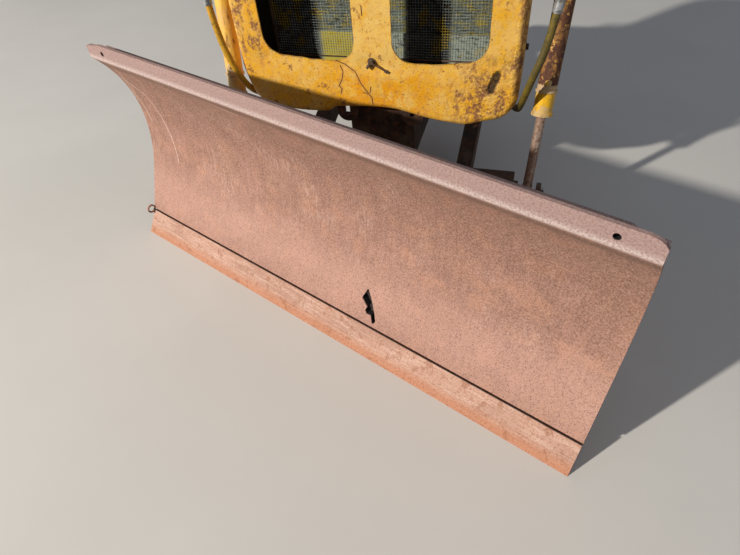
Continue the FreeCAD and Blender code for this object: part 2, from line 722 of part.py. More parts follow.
def make_cross_beam():
    low, high = S.beam_low, BEAM_TOP
    front, back = -S.beam_front, BEAM_BACK
    wall = S.beam_wall
    section = polygon([(front, low), (back, low), (back, high), (front, high)])
    inside = polygon([
        (front + wall, low + wall),
        (back - wall, low + wall),
        (back - wall, high - wall),
        (front + wall, high - wall),
    ])
    beam = padded("cross_beam", "YZ_Plane", section + inside, -BEAM_HALF, str(2 * BEAM_HALF))
    keep(beam, "cross_beam")


def make_arm(side, name):
    """Push arm from the cross beam back to its trunnion boss."""
    start = S.arm_inner if side > 0 else -S.arm_inner - S.arm_width
    y, z = TRUNNION.y, TRUNNION.z
    outline = polygon([
        (BEAM_BACK, S.beam_low),
        (y, z - S.trunnion_boss + S.arm_shoulder),
        (y, z + S.trunnion_boss - S.arm_shoulder),
        (BEAM_BACK, BEAM_TOP),
    ])
    plate = padded(f"arm_{name}", "YZ_Plane", outline, start, "Sizes.arm_width")
    base = Vector(start, y, z)
    out = Vector(1, 0, 0)
    boss = bar(f"boss_{name}", "Sizes.trunnion_boss", "Sizes.arm_width", base, out)
    hole = bar(f"bore_{name}", "Sizes.trunnion_radius + Sizes.pin_clearance", "Sizes.arm_width", base, out)
    keep(cut(f"push_arm_{name}", fused(f"arm_and_boss_{name}", [plate, boss]), hole), f"push_arm_{name}")


def make_nose():
    """Welded nose between the cross beam and the king pin."""
    front, root = -S.king_pin_at, -S.beam_front
    side = polygon([
        (root, S.beam_low),
        (root, BEAM_TOP),
        (root - S.nose_slope, NOSE_TOP),
        (front + S.boss_radius - S.boss_lap, NOSE_TOP),
        (front + S.boss_radius - S.boss_lap, NOSE_LOW),
    ])
    webs = []
    for start in (-S.nose_half, S.nose_half - S.nose_wall):
        webs.append(padded("nose_web", "YZ_Plane", side, start, "Sizes.nose_wall"))
    width = S.nose_half
    slope = root - S.nose_slope
    top = polygon([(-width, front), (width, front), (width, slope), (-width, slope)])
    floor = polygon([(-width, front), (width, front), (width, root), (-width, root)])
    plates = [
        padded("nose_top", "XY_Plane", top, NOSE_TOP - S.nose_wall, "Sizes.nose_wall"),
        padded("nose_floor", "XY_Plane", floor, NOSE_LOW, "Sizes.nose_wall"),
    ]
    base = KING_PIN + Vector(0, 0, BOSS_LOW)
    up = Vector(0, 0, 1)
    boss = doc.addObject("Part::Cylinder", "nose_boss")
    boss.setExpression("Radius", "Sizes.boss_radius")
    boss.Height = BOSS_HIGH - BOSS_LOW
    boss.Placement = Placement(base, Rotation())
    pad_at = KING_PIN + Vector(0, S.slot_radius, NOSE_TOP)
    spacer = bar("clamp_pad", "2.5 * Sizes.clamp_radius", "Sizes.nose_step - Sizes.ear_gap", pad_at, up)
    bore = doc.addObject("Part::Cylinder", "king_bore")
    bore.setExpression("Radius", "Sizes.king_pin_radius + Sizes.pin_clearance")
    bore.Height = BOSS_HIGH - BOSS_LOW
    bore.Placement = Placement(base, Rotation())
    solid = fused("nose_solid", webs + plates + [boss, spacer])
    keep(cut("push_nose", solid, bore), "push_nose")


def make_king_pin():
    """King pin with its head on the upper ear, and the clamp bolt in the curved slot."""
    up = Vector(0, 0, 1)
    low = GROUND + S.low_ear_rise - S.pin_past
    over = GROUND + S.high_ear_rise + S.ear_wall + S.ear_gap
    shaft = doc.addObject("Part::Cylinder", "pin_shaft")
    shaft.setExpression("Radius", "Sizes.king_pin_radius")
    shaft.Height = over - low
    shaft.Placement = Placement(KING_PIN + up * low, Rotation())
    head = bar("pin_top", "1.5 * Sizes.king_pin_radius", "Sizes.pin_head", KING_PIN + up * over, up)
    keep(fused("pin_and_head", [shaft, head]), "king_pin")

    at = KING_PIN + Vector(0, S.slot_radius, 0)
    start = BOSS_HIGH - S.ear_gap
    stud = doc.addObject("Part::Cylinder", "clamp_stud")
    stud.setExpression("Radius", "Sizes.clamp_radius")
    stud.Height = over + S.clamp_past - start
    stud.Placement = Placement(at + up * start, Rotation())
    washer = bar("clamp_washer", "2 * Sizes.clamp_radius", "Sizes.washer_wall", at + up * over, up)
    nut = doc.addObject("Part::Prism", "clamp_nut")
    nut.Polygon = 6
    nut.setExpression("Circumradius", "1.7 * Sizes.clamp_radius")
    nut.setExpression("Height", "Sizes.pin_head")
    nut.Placement = Placement(at + up * (over + S.washer_wall), Rotation())
    keep(fused("stud_and_nut", [stud, washer, nut]), "clamp_bolt")


def rod_pin(side):
    return lying(side * ROD_PIN_OUT, S.rod_pin_ahead, S.rod_pin_up)


def make_rod_lug(side, name):
    """Two ears and a pin at the end of the cross beam."""
    pin = rod_pin(side)
    low = S.beam_low - S.lug_wall
    reach = S.rod_pin_radius + S.lug_margin
    outline = [
        Part.LineSegment(flat((pin.y - reach, pin.z)), flat((pin.y - reach, low))),
        Part.LineSegment(flat((pin.y - reach, low)), flat((pin.y + reach, low))),
        Part.LineSegment(flat((pin.y + reach, low)), flat((pin.y + reach, pin.z))),
        arc((pin.y + reach, pin.z), (pin.y, pin.z + reach), (pin.y - reach, pin.z)),
    ]
    inner, outer = pin.x - side * S.lug_gap / 2, pin.x + side * S.lug_gap / 2
    inner_start = inner - S.lug_wall if side > 0 else inner
    outer_start = outer if side > 0 else outer - S.lug_wall
    ears = [
        padded("lug_inner", "YZ_Plane", outline, inner_start, "Sizes.lug_wall"),
        padded("lug_outer", "YZ_Plane", outline, outer_start, "Sizes.lug_wall"),
    ]
    first = min(inner_start, outer_start)
    span = "Sizes.lug_gap + 2 * Sizes.lug_wall"
    floor = polygon([
        (pin.y - reach, low),
        (pin.y + reach, low),
        (pin.y + reach, S.beam_low),
        (pin.y - reach, S.beam_low),
    ])
    base = padded("lug_floor", "YZ_Plane", floor, first, span)
    pin_start = first if side > 0 else first - S.lug_pin_past
    pin_base = Vector(pin_start, pin.y, pin.z)
    shaft = bar("lug_pin", "Sizes.rod_pin_radius", span + " + Sizes.lug_pin_past", pin_base, Vector(1, 0, 0))
    keep(fused(f"rod_lug_{name}", ears + [base, shaft]), f"rod_lug_{name}")


def make_push_frame():
    make_cross_beam()
    for side, name in ((1, "left"), (-1, "right")):
        make_arm(side, name)
        make_rod_lug(side, name)
    make_nose()
    make_king_pin()


def barrel_pin(side):
    return lying(side * BARREL_PIN_OUT, S.barrel_pin_ahead, S.barrel_pin_up)


def make_cylinder(side, name):
    """Lift cylinder, leaning as it hangs: barrel, gland and rod."""
    top, bottom = barrel_pin(side), rod_pin(side)
    down = (bottom - top).normalize()
    across = Vector(1, 0, 0)
    length = (bottom - top).Length
    half_eye = across * (S.barrel_eye_width / 2)

    def along(distance):
        return top + down * distance

    shell_start = S.head_start + S.head_length
    shell_length = "Sizes.gland_start - Sizes.head_start - Sizes.head_length"
    eye = bar(f"eye_{name}", "Sizes.barrel_radius", "Sizes.barrel_eye_width", top - half_eye, across)
    head = bar(f"head_{name}", "Sizes.barrel_radius", "Sizes.head_length", along(S.head_start), down)
    shell = bar(f"shell_{name}", "Sizes.barrel_radius", shell_length, along(shell_start), down)
    inner = "Sizes.barrel_radius - Sizes.barrel_wall"
    hollow = bar(f"hollow_{name}", inner, shell_length, along(shell_start), down)
    collar = bar(
        f"collar_{name}", "Sizes.barrel_radius + Sizes.ring_proud", "Sizes.collar_length",
        along(S.gland_start - S.collar_length), down,
    )
    bore = bar(
        f"eye_bore_{name}", "Sizes.barrel_pin_radius + Sizes.pin_clearance", "Sizes.barrel_eye_width",
        top - half_eye, across,
    )
    outside = fused(f"barrel_outside_{name}", [eye, head, shell, collar])
    inside = fused(f"barrel_inside_{name}", [hollow, bore])
    keep(cut(f"barrel_{name}", outside, inside), f"barrel_{name}")

    sleeve = bar(f"sleeve_{name}", "Sizes.barrel_radius", "Sizes.gland_length", along(S.gland_start), down)
    ring = bar(
        f"ring_{name}", "Sizes.barrel_radius + Sizes.ring_proud", "Sizes.gland_ring",
        along(S.gland_start + S.gland_length - S.gland_ring), down,
    )
    passage = bar(
        f"passage_{name}", "Sizes.rod_radius + Sizes.pin_clearance", "Sizes.gland_length",
        along(S.gland_start), down,
    )
    keep(cut(f"gland_{name}", fused(f"gland_solid_{name}", [sleeve, ring]), passage), f"gland_{name}")

    start = S.gland_start - S.rod_hidden
    shaft = doc.addObject("Part::Cylinder", f"shaft_{name}")
    shaft.setExpression("Radius", "Sizes.rod_radius")
    shaft.Height = length - S.rod_eye_radius + S.rod_pin_play - start
    shaft.Placement = Placement(along(start), Rotation(Vector(0, 0, 1), down))
    eye_start = bottom - across * (S.rod_eye_width / 2)
    rod_eye = bar(f"rod_eye_{name}", "Sizes.rod_eye_radius", "Sizes.rod_eye_width", eye_start, across)
    rod_bore = bar(
        f"rod_bore_{name}", "Sizes.rod_pin_radius + Sizes.rod_pin_play", "Sizes.rod_eye_width",
        eye_start, across,
    )
    keep(cut(f"rod_{name}", fused(f"rod_solid_{name}", [shaft, rod_eye]), rod_bore), f"rod_{name}")


def make_bracket(side, name):
    """Bracket on the guard's side panel, with the pin that carries a cylinder."""
    pin = barrel_pin(side)
    half = S.barrel_eye_width / 2 + S.side_play
    wall, reach, rise = S.bracket_wall, S.bracket_half, S.bracket_rise
    ear = [
        Part.LineSegment(flat((pin.y - reach, pin.z)), flat((pin.y - reach, pin.z + rise))),
        Part.LineSegment(flat((pin.y - reach, pin.z + rise)), flat((pin.y + reach, pin.z + rise))),
        Part.LineSegment(flat((pin.y + reach, pin.z + rise)), flat((pin.y + reach, pin.z))),
        arc((pin.y + reach, pin.z), (pin.y, pin.z - reach), (pin.y - reach, pin.z)),
    ]
    near, far = BARREL_PIN_OUT - half - wall, BARREL_PIN_OUT + half
    pieces = []
    for place in (near, far):
        start = place if side > 0 else -place - wall
        pieces.append(padded("bracket_ear", "YZ_Plane", ear, start, "Sizes.bracket_wall"))
    outer = far + wall
    top = pin.z + rise + wall
    back = pin.y + S.foot_half
    front = pin.y - S.foot_half
    low_x, high_x = sorted((side * S.guard_half, side * outer))
    pieces.append(block(f"bracket_top_{name}", (low_x, front, pin.z + rise), (high_x, pin.y + reach, top)))
    low_x, high_x = sorted((side * S.guard_half, side * (S.guard_half + S.bracket_foot)))
    pieces.append(block(f"bracket_foot_{name}", (low_x, front, pin.z - S.foot_drop), (high_x, back, top)))
    shaft = doc.addObject("Part::Cylinder", f"bracket_pin_{name}")
    shaft.setExpression("Radius", "Sizes.barrel_pin_radius")
    shaft.Height = outer - near
    base = Vector(min(side * near, side * outer), pin.y, pin.z)
    shaft.Placement = Placement(base, Rotation(Vector(0, 0, 1), Vector(1, 0, 0)))
    pieces.append(shaft)
    keep(fused(f"cylinder_bracket_{name}", pieces), f"cylinder_bracket_{name}")


def beside(points, side, face):
    """Points given from a face on the left side, or their mirror images on the right."""
    return [lying(side * (face + out), ahead, up) for out, ahead, up in points]


def make_hose(side, name):
    """Steel tube with its crimped ferrule, hose and the fitting on the rail, end to end."""
    hose = beside(HOSE_ROUTE, side, S.guard_half) + beside(HOSE_END, side, S.rail_out)
    first = (hose[1] - hose[0]).normalize()
    ferrule_top = hose[0] - first * S.ferrule_length
    route = beside(TUBE_ROUTE, side, S.guard_half)
    route += [ferrule_top - first * S.ferrule_length, ferrule_top]
    tube = routed(f"tube_{name}", route, S.tube_radius)
    ferrule = bar(f"crimp_{name}", "Sizes.ferrule_radius", "Sizes.ferrule_length", ferrule_top, first)
    keep(fused(f"tube_and_ferrule_{name}", [tube, ferrule]), f"feed_tube_{name}")
    keep(routed(f"hose_{name}", hose, S.hose_radius), f"hose_{name}")

    last = (hose[-1] - hose[-2]).normalize()
    near, far = sorted((0, side * S.rail_out))
    stem = bar(f"stem_{name}", "Sizes.ferrule_radius", "Sizes.ferrule_length", hose[-1], last)
    past = S.fitting_back
    low, high = S.member_low - past, S.member_low + S.rail_height
    front, back = hose[-1].y - past, hose[-1].y + 2 * past
    inside = block(f"rail_side_{name}", (near, front, low), (far, back, high))
    keep(cut(f"fitting_{name}", stem, inside), f"hose_fitting_{name}")


def guard_form(name, inset, extra):
    """Outer or inner form of the pressed guard; inset is the sheet's thickness or nothing."""
    low = (-S.guard_half + inset, S.guard_low + inset)
    high = (S.guard_half - inset, S.guard_top - inset)
    outline = rounded(low, high, S.guard_corner - inset, S.guard_crown - inset, S.guard_arch)
    depth = "Sizes.guard_depth" if not inset else "Sizes.guard_depth - Sizes.guard_wall"
    body = padded(name, "XZ_Plane", outline, -S.guard_face + inset, depth + extra)

    def front(edge):
        return all(abs(vertex.Y + S.guard_face - inset) < 0.1 for vertex in edge.Vertexes)

    radius = "Sizes.guard_edge" if not inset else "Sizes.guard_edge - Sizes.guard_wall"
    return filleted(body, radius, front)


def make_guard():
    """Pressed guard with a rolled front edge, open behind and below, and two windows."""
    outer = guard_form("guard_outer", 0, "")
    inner = guard_form("guard_inner", S.guard_wall, " + Sizes.guard_wall")
    openings = []
    for side in (-1, 1):
        near, far = sorted((side * S.column_half, side * (S.guard_half - S.window_margin)))
        outline = rounded((near, S.window_low), (far, S.window_top), S.window_corner, S.window_corner)
        start = -S.guard_face - S.guard_wall
        window = padded("window", "XZ_Plane", outline, start, "3 * Sizes.guard_wall")
        openings.append(window)
    flat_half = S.guard_half - S.guard_corner
    openings.append(block(
        "guard_underside",
        (-flat_half, -S.guard_face + S.guard_return, S.guard_low - S.guard_wall),
        (flat_half, -S.guard_face + 2 * S.guard_depth, S.guard_low + S.guard_arch + 2 * S.guard_wall),
    ))
    tool = fused("guard_openings", [inner] + openings)
    keep(cut("radiator_guard", outer, tool), "radiator_guard")


def make_mesh(side, name):
    """Wire mesh panel seated on the radiator's tanks, behind its window."""
    window_far = S.guard_half - S.window_margin
    near, far = sorted((side * (S.column_half - S.mesh_lap), side * (window_far + S.mesh_lap)))
    low, high = S.window_low - S.mesh_lap, S.window_top + S.mesh_lap
    sheet_start = -S.radiator_ahead - S.seat_gap - S.mesh_wall
    rim = 2 * S.mesh_lap
    columns = int((far - near - 2 * rim) / S.mesh_pitch)
    rows = int((high - low - 2 * rim) / (2 * S.mesh_pitch))
    step_x = (far - near - 2 * rim) / columns
    step_z = (high - low - 2 * rim) / rows
    outline = polygon([(near, low), (far, low), (far, high), (near, high)])
    for column in range(columns):
        for row in range(rows):
            x = near + rim + column * step_x + S.mesh_bar / 2
            z = low + rim + row * step_z + S.mesh_bar / 2
            right, top = x + step_x - S.mesh_bar, z + step_z - S.mesh_bar
            outline += polygon([(x, z), (right, z), (right, top), (x, top)])
    keep(padded(f"mesh_{name}", "XZ_Plane", outline, sheet_start, "Sizes.mesh_wall"), f"mesh_{name}")


def make_radiator():
    """Core with two tanks, standing on the rails, and side channels that meet the guard."""
    front = -S.radiator_ahead
    base = S.member_low + S.rail_height + S.seat_gap
    top = base + S.radiator_height
    outer = S.guard_half - S.guard_wall - S.seat_gap
    half = outer - S.channel_width
    thin = "Sizes.radiator_depth - 2 * Sizes.core_inset"
    core = polygon([(-half, base), (half, base), (half, top), (-half, top)])
    pieces = [padded("core_block", "XZ_Plane", core, front + S.core_inset, thin)]
    for low in (base, top - S.tank_height):
        high = low + S.tank_height
        outline = polygon([(-half, low), (half, low), (half, high), (-half, high)])
        pieces.append(padded("tank", "XZ_Plane", outline, front, "Sizes.radiator_depth"))
    foot = S.guard_low + S.channel_foot
    head = top - S.tank_height
    for side in (-1, 1):
        near, far = sorted((side * half, side * outer))
        outline = polygon([(near, foot), (far, foot), (far, head), (near, head)])
        pieces.append(padded("side_channel", "XZ_Plane", outline, front + S.core_inset, thin))
    keep(fused("radiator_solid", pieces), "radiator")


def tow_lug(side):
    """Plate under the front cross member, with a square hole for a shackle."""
    middle = side * S.tow_out
    high = S.member_low
    low = high - S.tow_drop
    half = S.tow_half
    hole_high = high - S.tow_hole_drop
    hole_low = hole_high - S.tow_hole_height
    hole_half = S.tow_hole_width / 2
    outline = [
        Part.LineSegment(flat((middle - half, high)), flat((middle - half, low + half))),
        arc((middle - half, low + half), (middle, low), (middle + half, low + half)),
        Part.LineSegment(flat((middle + half, low + half)), flat((middle + half, high))),
        Part.LineSegment(flat((middle + half, high)), flat((middle - half, high))),
    ]
    outline += polygon([
        (middle - hole_half, hole_low),
        (middle + hole_half, hole_low),
        (middle + hole_half, hole_high),
        (middle - hole_half, hole_high),
    ])
    return padded("tow_plate", "XZ_Plane", outline, -S.member_front, "Sizes.tow_wall")


def make_main_frame():
    """Front cross member with its tow lugs, two rails and bulkhead."""
    low = S.member_low
    high = low + S.member_height
    front = -S.member_front
    back = front + S.member_depth
    wall = S.rail_wall
    section = polygon([
        (front, low),
        (back, low),
        (back, high),
        (front, high),
        (front, high - wall),
        (back - wall, high - wall),
        (back - wall, low + wall),
        (front, low + wall),
    ])
    half = S.guard_half - S.member_margin
    length = "2 * Sizes.guard_half - 2 * Sizes.member_margin"
    member = padded("front_cross_member", "YZ_Plane", section, -half, length)
    keep(member, "front_cross_member")
    keep(fused("both_tow_lugs", [tow_lug(side) for side in (-1, 1)]), "tow_lugs")

    rail_top = low + S.rail_height
    for side, name in ((1, "left"), (-1, "right")):
        web, tip = side * S.rail_out, side * (S.rail_out - S.rail_flange)
        inner = side * (S.rail_out - wall)
        outline = polygon([
            (web, low),
            (web, rail_top),
            (tip, rail_top),
            (tip, rail_top - wall),
            (inner, rail_top - wall),
            (inner, low + wall),
            (tip, low + wall),
            (tip, low),
        ])
        length = "Sizes.member_front - Sizes.member_depth - Sizes.bulkhead_wall"
        keep(padded(f"main_rail_{name}", "XZ_Plane", outline, back, length), f"main_rail_{name}")

    half, rise = S.bolt_span / 2 + S.bolt_margin_side, S.bolt_rise / 2 + S.bolt_margin_up
    outline = polygon([(-half, -rise), (half, -rise), (half, rise), (-half, rise)])
    for x in (-S.bolt_span / 2, S.bolt_span / 2):
        for z in (-S.bolt_rise / 2, S.bolt_rise / 2):
            outline.append(circle((x, z), S.bolt_hole_radius))
    bulkhead = padded("bulkhead", "XZ_Plane", outline, -S.bulkhead_wall, "Sizes.bulkhead_wall")
    keep(bulkhead, "bulkhead")


def pan_section(inset):
    """The belly pan's side view, or its inside one wall further in."""
    front, rear, low = inset - S.pan_front, -S.pan_back - inset, S.pan_low + inset
    climb_turn = math.atan2(S.pan_climb, S.pan_slope)
    bevel = S.pan_bevel - inset + inset * math.tan(math.radians(45) / 2)
    slope = S.pan_slope - inset + inset * math.tan(climb_turn / 2)
    climb = S.pan_climb - inset + inset * math.tan((math.radians(90) - climb_turn) / 2)
    return polygon([
        (front, S.member_low),
        (front, low + bevel),
        (front + bevel, low),
        (rear - slope, low),
        (rear, low + climb),
        (rear, S.member_low),
    ])


def make_pan():
    """Trough below the engine, hung by a flange each side from the cross member and the rails."""
    half, wall = S.pan_half, S.pan_wall
    outside = padded("pan_outside", "YZ_Plane", pan_section(0), -half, "2 * Sizes.pan_half")
    width = "2 * Sizes.pan_half - 2 * Sizes.pan_wall"
    inside = padded("pan_inside", "YZ_Plane", pan_section(wall), wall - half, width)
    front, rear, top = -S.pan_front, -S.pan_back, S.member_low
    flanges = []
    for side in (-1, 1):
        near, far = sorted((side * half, side * (half + S.pan_flange)))
        flanges.append(block("pan_flange", (near, front, top - wall), (far, rear, top)))
    keep(fused("pan_and_flanges", [cut("trough", outside, inside)] + flanges), "belly_pan")


def make_trunnion(side, name):
    """Hanger on the rail with the pin that carries a push arm."""
    y, z = TRUNNION.y, TRUNNION.z
    wall = S.arm_inner - S.rail_out - S.side_play - S.trunnion_spacer
    high = S.member_low + S.rail_height - 1.5 * S.rail_wall
    foot = z - S.hanger_past
    outline = polygon([
        (y - S.hanger_half, high),
        (y - S.hanger_half, S.member_low),
        (y - S.hanger_foot, foot),
        (y + S.hanger_foot, foot),
        (y + S.hanger_half, S.member_low),
        (y + S.hanger_half, high),
    ])
    start = S.rail_out if side > 0 else -S.rail_out - wall
    thick = "Sizes.arm_inner - Sizes.rail_out - Sizes.side_play - Sizes.trunnion_spacer"
    plate = padded(f"hanger_{name}", "YZ_Plane", outline, start, thick)
    out = Vector(side, 0, 0)
    face = Vector(side * (S.rail_out + wall), y, z)
    spacer_radius = "Sizes.trunnion_boss - Sizes.trunnion_spacer"
    spacer = bar(f"spacer_{name}", spacer_radius, "Sizes.trunnion_spacer", face, out)
    far = S.arm_inner + S.arm_width + S.side_play - S.rail_out - wall
    shaft = doc.addObject("Part::Cylinder", f"trunnion_pin_{name}")
    shaft.setExpression("Radius", "Sizes.trunnion_radius")
    shaft.Height = far + S.cap_wall
    shaft.Placement = Placement(face, Rotation(Vector(0, 0, 1), out))
    cap_at = face + out * far
    cap = bar(f"cap_{name}", "Sizes.trunnion_radius + Sizes.cap_proud", "Sizes.cap_wall", cap_at, out)
    keep(fused(f"trunnion_{name}", [plate, spacer, shaft, cap]), f"trunnion_{name}")


def check_everything():
    for item in doc.Objects:
        if "Invalid" in item.State or "Error" in item.State:
            raise ValueError(f"{item.Label}: {item.State}")
    for item in nodes:
        if item.Shape.isNull() or not item.Shape.isValid():
            raise ValueError(f"{item.Label}: bad shape")


def write_parts():
    os.makedirs("parts", exist_ok=True)
    for item in nodes:
        item.Shape.exportStep(f"parts/{item.Label}.step")
        litres = round(item.Shape.Volume / 1e6, 3)
        print(item.Label, len(item.Shape.Solids), "solids", litres, "litres")
    print("all", len(nodes), "nodes", round(sum(item.Shape.Volume for item in nodes) / 1e6, 1), "litres")


make_main_frame()
make_pan()
make_guard()
make_radiator()
for side, name in ((1, "left"), (-1, "right")):
    make_mesh(side, name)
    make_bracket(side, name)
    make_trunnion(side, name)
    make_cylinder(side, name)
    make_hose(side, name)
make_push_frame()
make_blade()
doc.recompute()
check_everything()
write_parts()
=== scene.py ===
"""Looks of an old crawler dozer's front end: rusty blade, yellow radiator guard, lift cylinders.

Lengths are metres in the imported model's frame: +X is the operator's left, -Y is forward, +Z is up.
"""
import json
import math
from functools import partialmethod

import bmesh
import bpy
from mathutils import Matrix, Vector, noise


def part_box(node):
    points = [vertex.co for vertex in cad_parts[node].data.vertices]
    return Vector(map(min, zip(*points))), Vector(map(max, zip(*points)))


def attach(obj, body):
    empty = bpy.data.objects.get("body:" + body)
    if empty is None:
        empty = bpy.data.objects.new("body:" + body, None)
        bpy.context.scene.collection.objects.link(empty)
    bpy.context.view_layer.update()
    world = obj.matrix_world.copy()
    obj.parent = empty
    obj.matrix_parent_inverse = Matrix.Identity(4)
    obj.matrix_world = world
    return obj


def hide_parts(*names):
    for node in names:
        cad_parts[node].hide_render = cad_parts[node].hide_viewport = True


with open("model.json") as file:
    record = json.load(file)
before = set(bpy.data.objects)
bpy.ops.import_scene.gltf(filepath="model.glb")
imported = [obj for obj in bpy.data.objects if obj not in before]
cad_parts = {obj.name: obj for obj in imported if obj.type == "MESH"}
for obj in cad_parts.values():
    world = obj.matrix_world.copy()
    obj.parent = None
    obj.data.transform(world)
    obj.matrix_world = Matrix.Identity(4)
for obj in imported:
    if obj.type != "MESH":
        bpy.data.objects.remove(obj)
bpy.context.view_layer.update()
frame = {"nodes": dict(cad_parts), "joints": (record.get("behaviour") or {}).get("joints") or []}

MM = 0.001
NODES = frame["nodes"]
JOINTS = {joint["name"]: joint for joint in frame["joints"]}
SIDES = ((1, "left"), (-1, "right"))
FORWARD = Vector((0, -1, 0))

GROUND = -0.5

# The blade, from its middle, the cutting edge and the ground: its turn, its place behind the king pin, the
# mouldboard's section and the lip above it.
BLADE_TURN = math.radians(22.3)
BLADE_SETBACK = 0.198
BLADE_HALF = 0.915
TOE_BACK, TOE_UP, TOE_LENGTH = 57 * MM, 86 * MM, 189 * MM
TOE_LEAN = math.radians(22.5)
LOW_RADIUS, HIGH_RADIUS = 534 * MM, 365 * MM
PLATE_WALL = 10 * MM
LIP_START, LIP_TOP = 0.716, 0.769
LIP_FACE = 0.070
LIP_HOLE_OUT = 0.829
EDGE_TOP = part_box("cutting_edge")[1].z - GROUND
# The tear: out from the middle, and up.
TEAR_SIDES, TEAR_HEIGHTS = (0.170, 0.242), (0.094, 0.206)
# Pale scratches, the deepest first: along the blade from its middle, and up from the ground.
BLADE_SCRATCHES = [
    [(-0.913, 0.637), (-0.888, 0.615), (-0.823, 0.567), (-0.792, 0.479), (-0.762, 0.371), (-0.751, 0.313)],
    [(-0.834, 0.704), (-0.728, 0.692), (-0.648, 0.684), (-0.588, 0.674)],
    [(-0.846, 0.686), (-0.892, 0.610), (-0.902, 0.546), (-0.886, 0.498), (-0.874, 0.446)],
    [(-0.600, 0.700), (-0.430, 0.684), (-0.364, 0.678), (-0.250, 0.664)],
]
KING_PIN = Vector(JOINTS["blade_angle"]["pos_m"])
BLADE = (
    Matrix.Translation((KING_PIN.x, KING_PIN.y, GROUND))
    @ Matrix.Rotation(-BLADE_TURN, 4, "Z")
    @ Matrix.Translation((0, -BLADE_SETBACK, 0))
)

GUARD_LOW, GUARD_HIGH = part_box("radiator_guard")
GUARD_SIDE = GUARD_HIGH.x
GUARD_FACE = GUARD_LOW.y
# Knocks in the guard's face, out from the middle and up: a bruised corner, a deep hollow, the latch's seat.
GUARD_KNOCKS = ((0.445, 0.02), (0.419, 0.050), (-0.008, 0.095))
SILL_HEIGHT = 0.100
DENTS_TOP = 0.30
# Cracks through the guard's enamel: out from the middle and up.
GUARD_CRACKS = [
    [
        (-0.138, 0.107), (-0.105, 0.094), (-0.070, 0.070), (-0.052, 0.027), (-0.035, 0.005),
        (-0.014, -0.025), (-0.012, -0.052),
    ],
    [(-0.125, 0.089), (-0.116, 0.068), (-0.123, 0.038), (-0.137, 0.014), (-0.127, 0.003), (-0.131, -0.014)],
    [(-0.015, 0.017), (-0.020, -0.006)],
    [(-0.030, 0.292), (-0.029, 0.262)],
]
RAIL_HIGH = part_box("main_rail_left")[1]
RAIL_SIDE, RAIL_TOP = RAIL_HIGH.x, RAIL_HIGH.z

# Hose down beside the guard: out past the guard's side, forwards, up.
HOSE_ROUTE = [
    (0.079, 1.044, 0.288), (0.068, 1.052, 0.190), (0.037, 1.062, 0.090),
    (0.012, 1.020, -0.026), (0.002, 0.912, -0.102), (-0.038, 0.792, -0.130),
]
# The hose's end, to the fitting on the rail: out past the rail's face, forwards, up.
HOSE_END = [(0.125, 0.691, -0.103), (0.032, 0.650, -0.022)]
HOSE_RADIUS = 12 * MM
FERRULE_LENGTH = 55 * MM

MESH_PITCH = 9.5 * MM
MESH_WIRE_SIZE = 1.2 * MM
MESH_FRAME = 6 * MM
# The cloth reaches from the middle to the side channels, and down over the bottom tank.
MESH_MIDDLE, MESH_SIDE, MESH_FOOT = 3 * MM, 428 * MM, 56 * MM

# The pins of the push arms and of the cylinders' rods.
ARM_PIN = Vector(JOINTS["lift"]["pos_m"])
ROD_PIN = Vector((0.580, -1.060, -0.360))

BARREL_RADIUS = 33 * MM
GLAND_START = 0.564
BARREL_TOP = Vector(JOINTS["barrel_swing_left"]["pos_m"])
BARREL_DOWN = Vector(JOINTS["rod_slide_left"]["axis"]).normalized()
COLLAR = BARREL_TOP + BARREL_DOWN * GLAND_START
# The same place with every coordinate's sign dropped.
COLLAR_MIRRORED = tuple(abs(value) for value in COLLAR)

CORE_INSET = 15 * MM
CHANNEL_WIDTH = 68 * MM
TANK_HEIGHT = 90 * MM
# Fins stand 5 mm apart, coarser than real ones, so that they show.
FIN_PITCH = 5 * MM
FIN_WALL = 0.7 * MM
FIN_DEPTH = 9 * MM
TUBE_PITCH = 12 * MM
TUBE_WALL = 2.5 * MM
BAFFLE_WALL = 1.5 * MM

# The ribs on the blade's back: out from its middle, half a rib's wall, and where the bar on them starts and
# ends. Then the ears' weld runs: height, half length, and how far they stand off the mouldboard's back.
RIBS = (0.305, 0.610, 0.903)
RIB_HALF = 6 * MM
RIB_BACK = 0.2325
BACK_BAR = (0.382, 0.468)
EAR_WELDS = ((0.119, 0.146, 14 * MM), (0.2635, 0.196, 0))
# Weld runs on one side of the push frame and of the main frame, in metres.
PUSH_FRAME_WELDS = [
    [(0.300, -1.0, -0.398), (0.300, -1.0, -0.312)],
    [(0.360, -1.0, -0.398), (0.360, -1.0, -0.312)],
    [(0.302, -1.0, -0.310), (0.358, -1.0, -0.310)],
    [(0.074, -1.12, -0.398), (0.074, -1.12, -0.312)],
    [(0.505, -1.102, -0.396), (0.505, -1.102, -0.360)],
    [(0.505, -1.018, -0.396), (0.505, -1.018, -0.360)],
]
MAIN_FRAME_WELDS = [
    [(0.26, -0.02, -0.058), (0.26, -0.02, 0.06), (0.202, -0.02, 0.06)],
    [(0.26, -0.88, -0.058), (0.26, -0.88, 0.0), (0.202, -0.88, 0.0)],
]
# The tow lugs' weld runs: place, and half length.
TOW_LUG, TOW_WELD_HALF = Vector((0.127, -0.988, -0.060)), 0.04

# Profile of a grease nipple, as radius and height in mm.
NIPPLE = [(0, 0), (4, 0), (4, 4), (2.6, 5.5), (2.6, 8), (3.4, 10), (2.2, 12.5), (0, 13)]
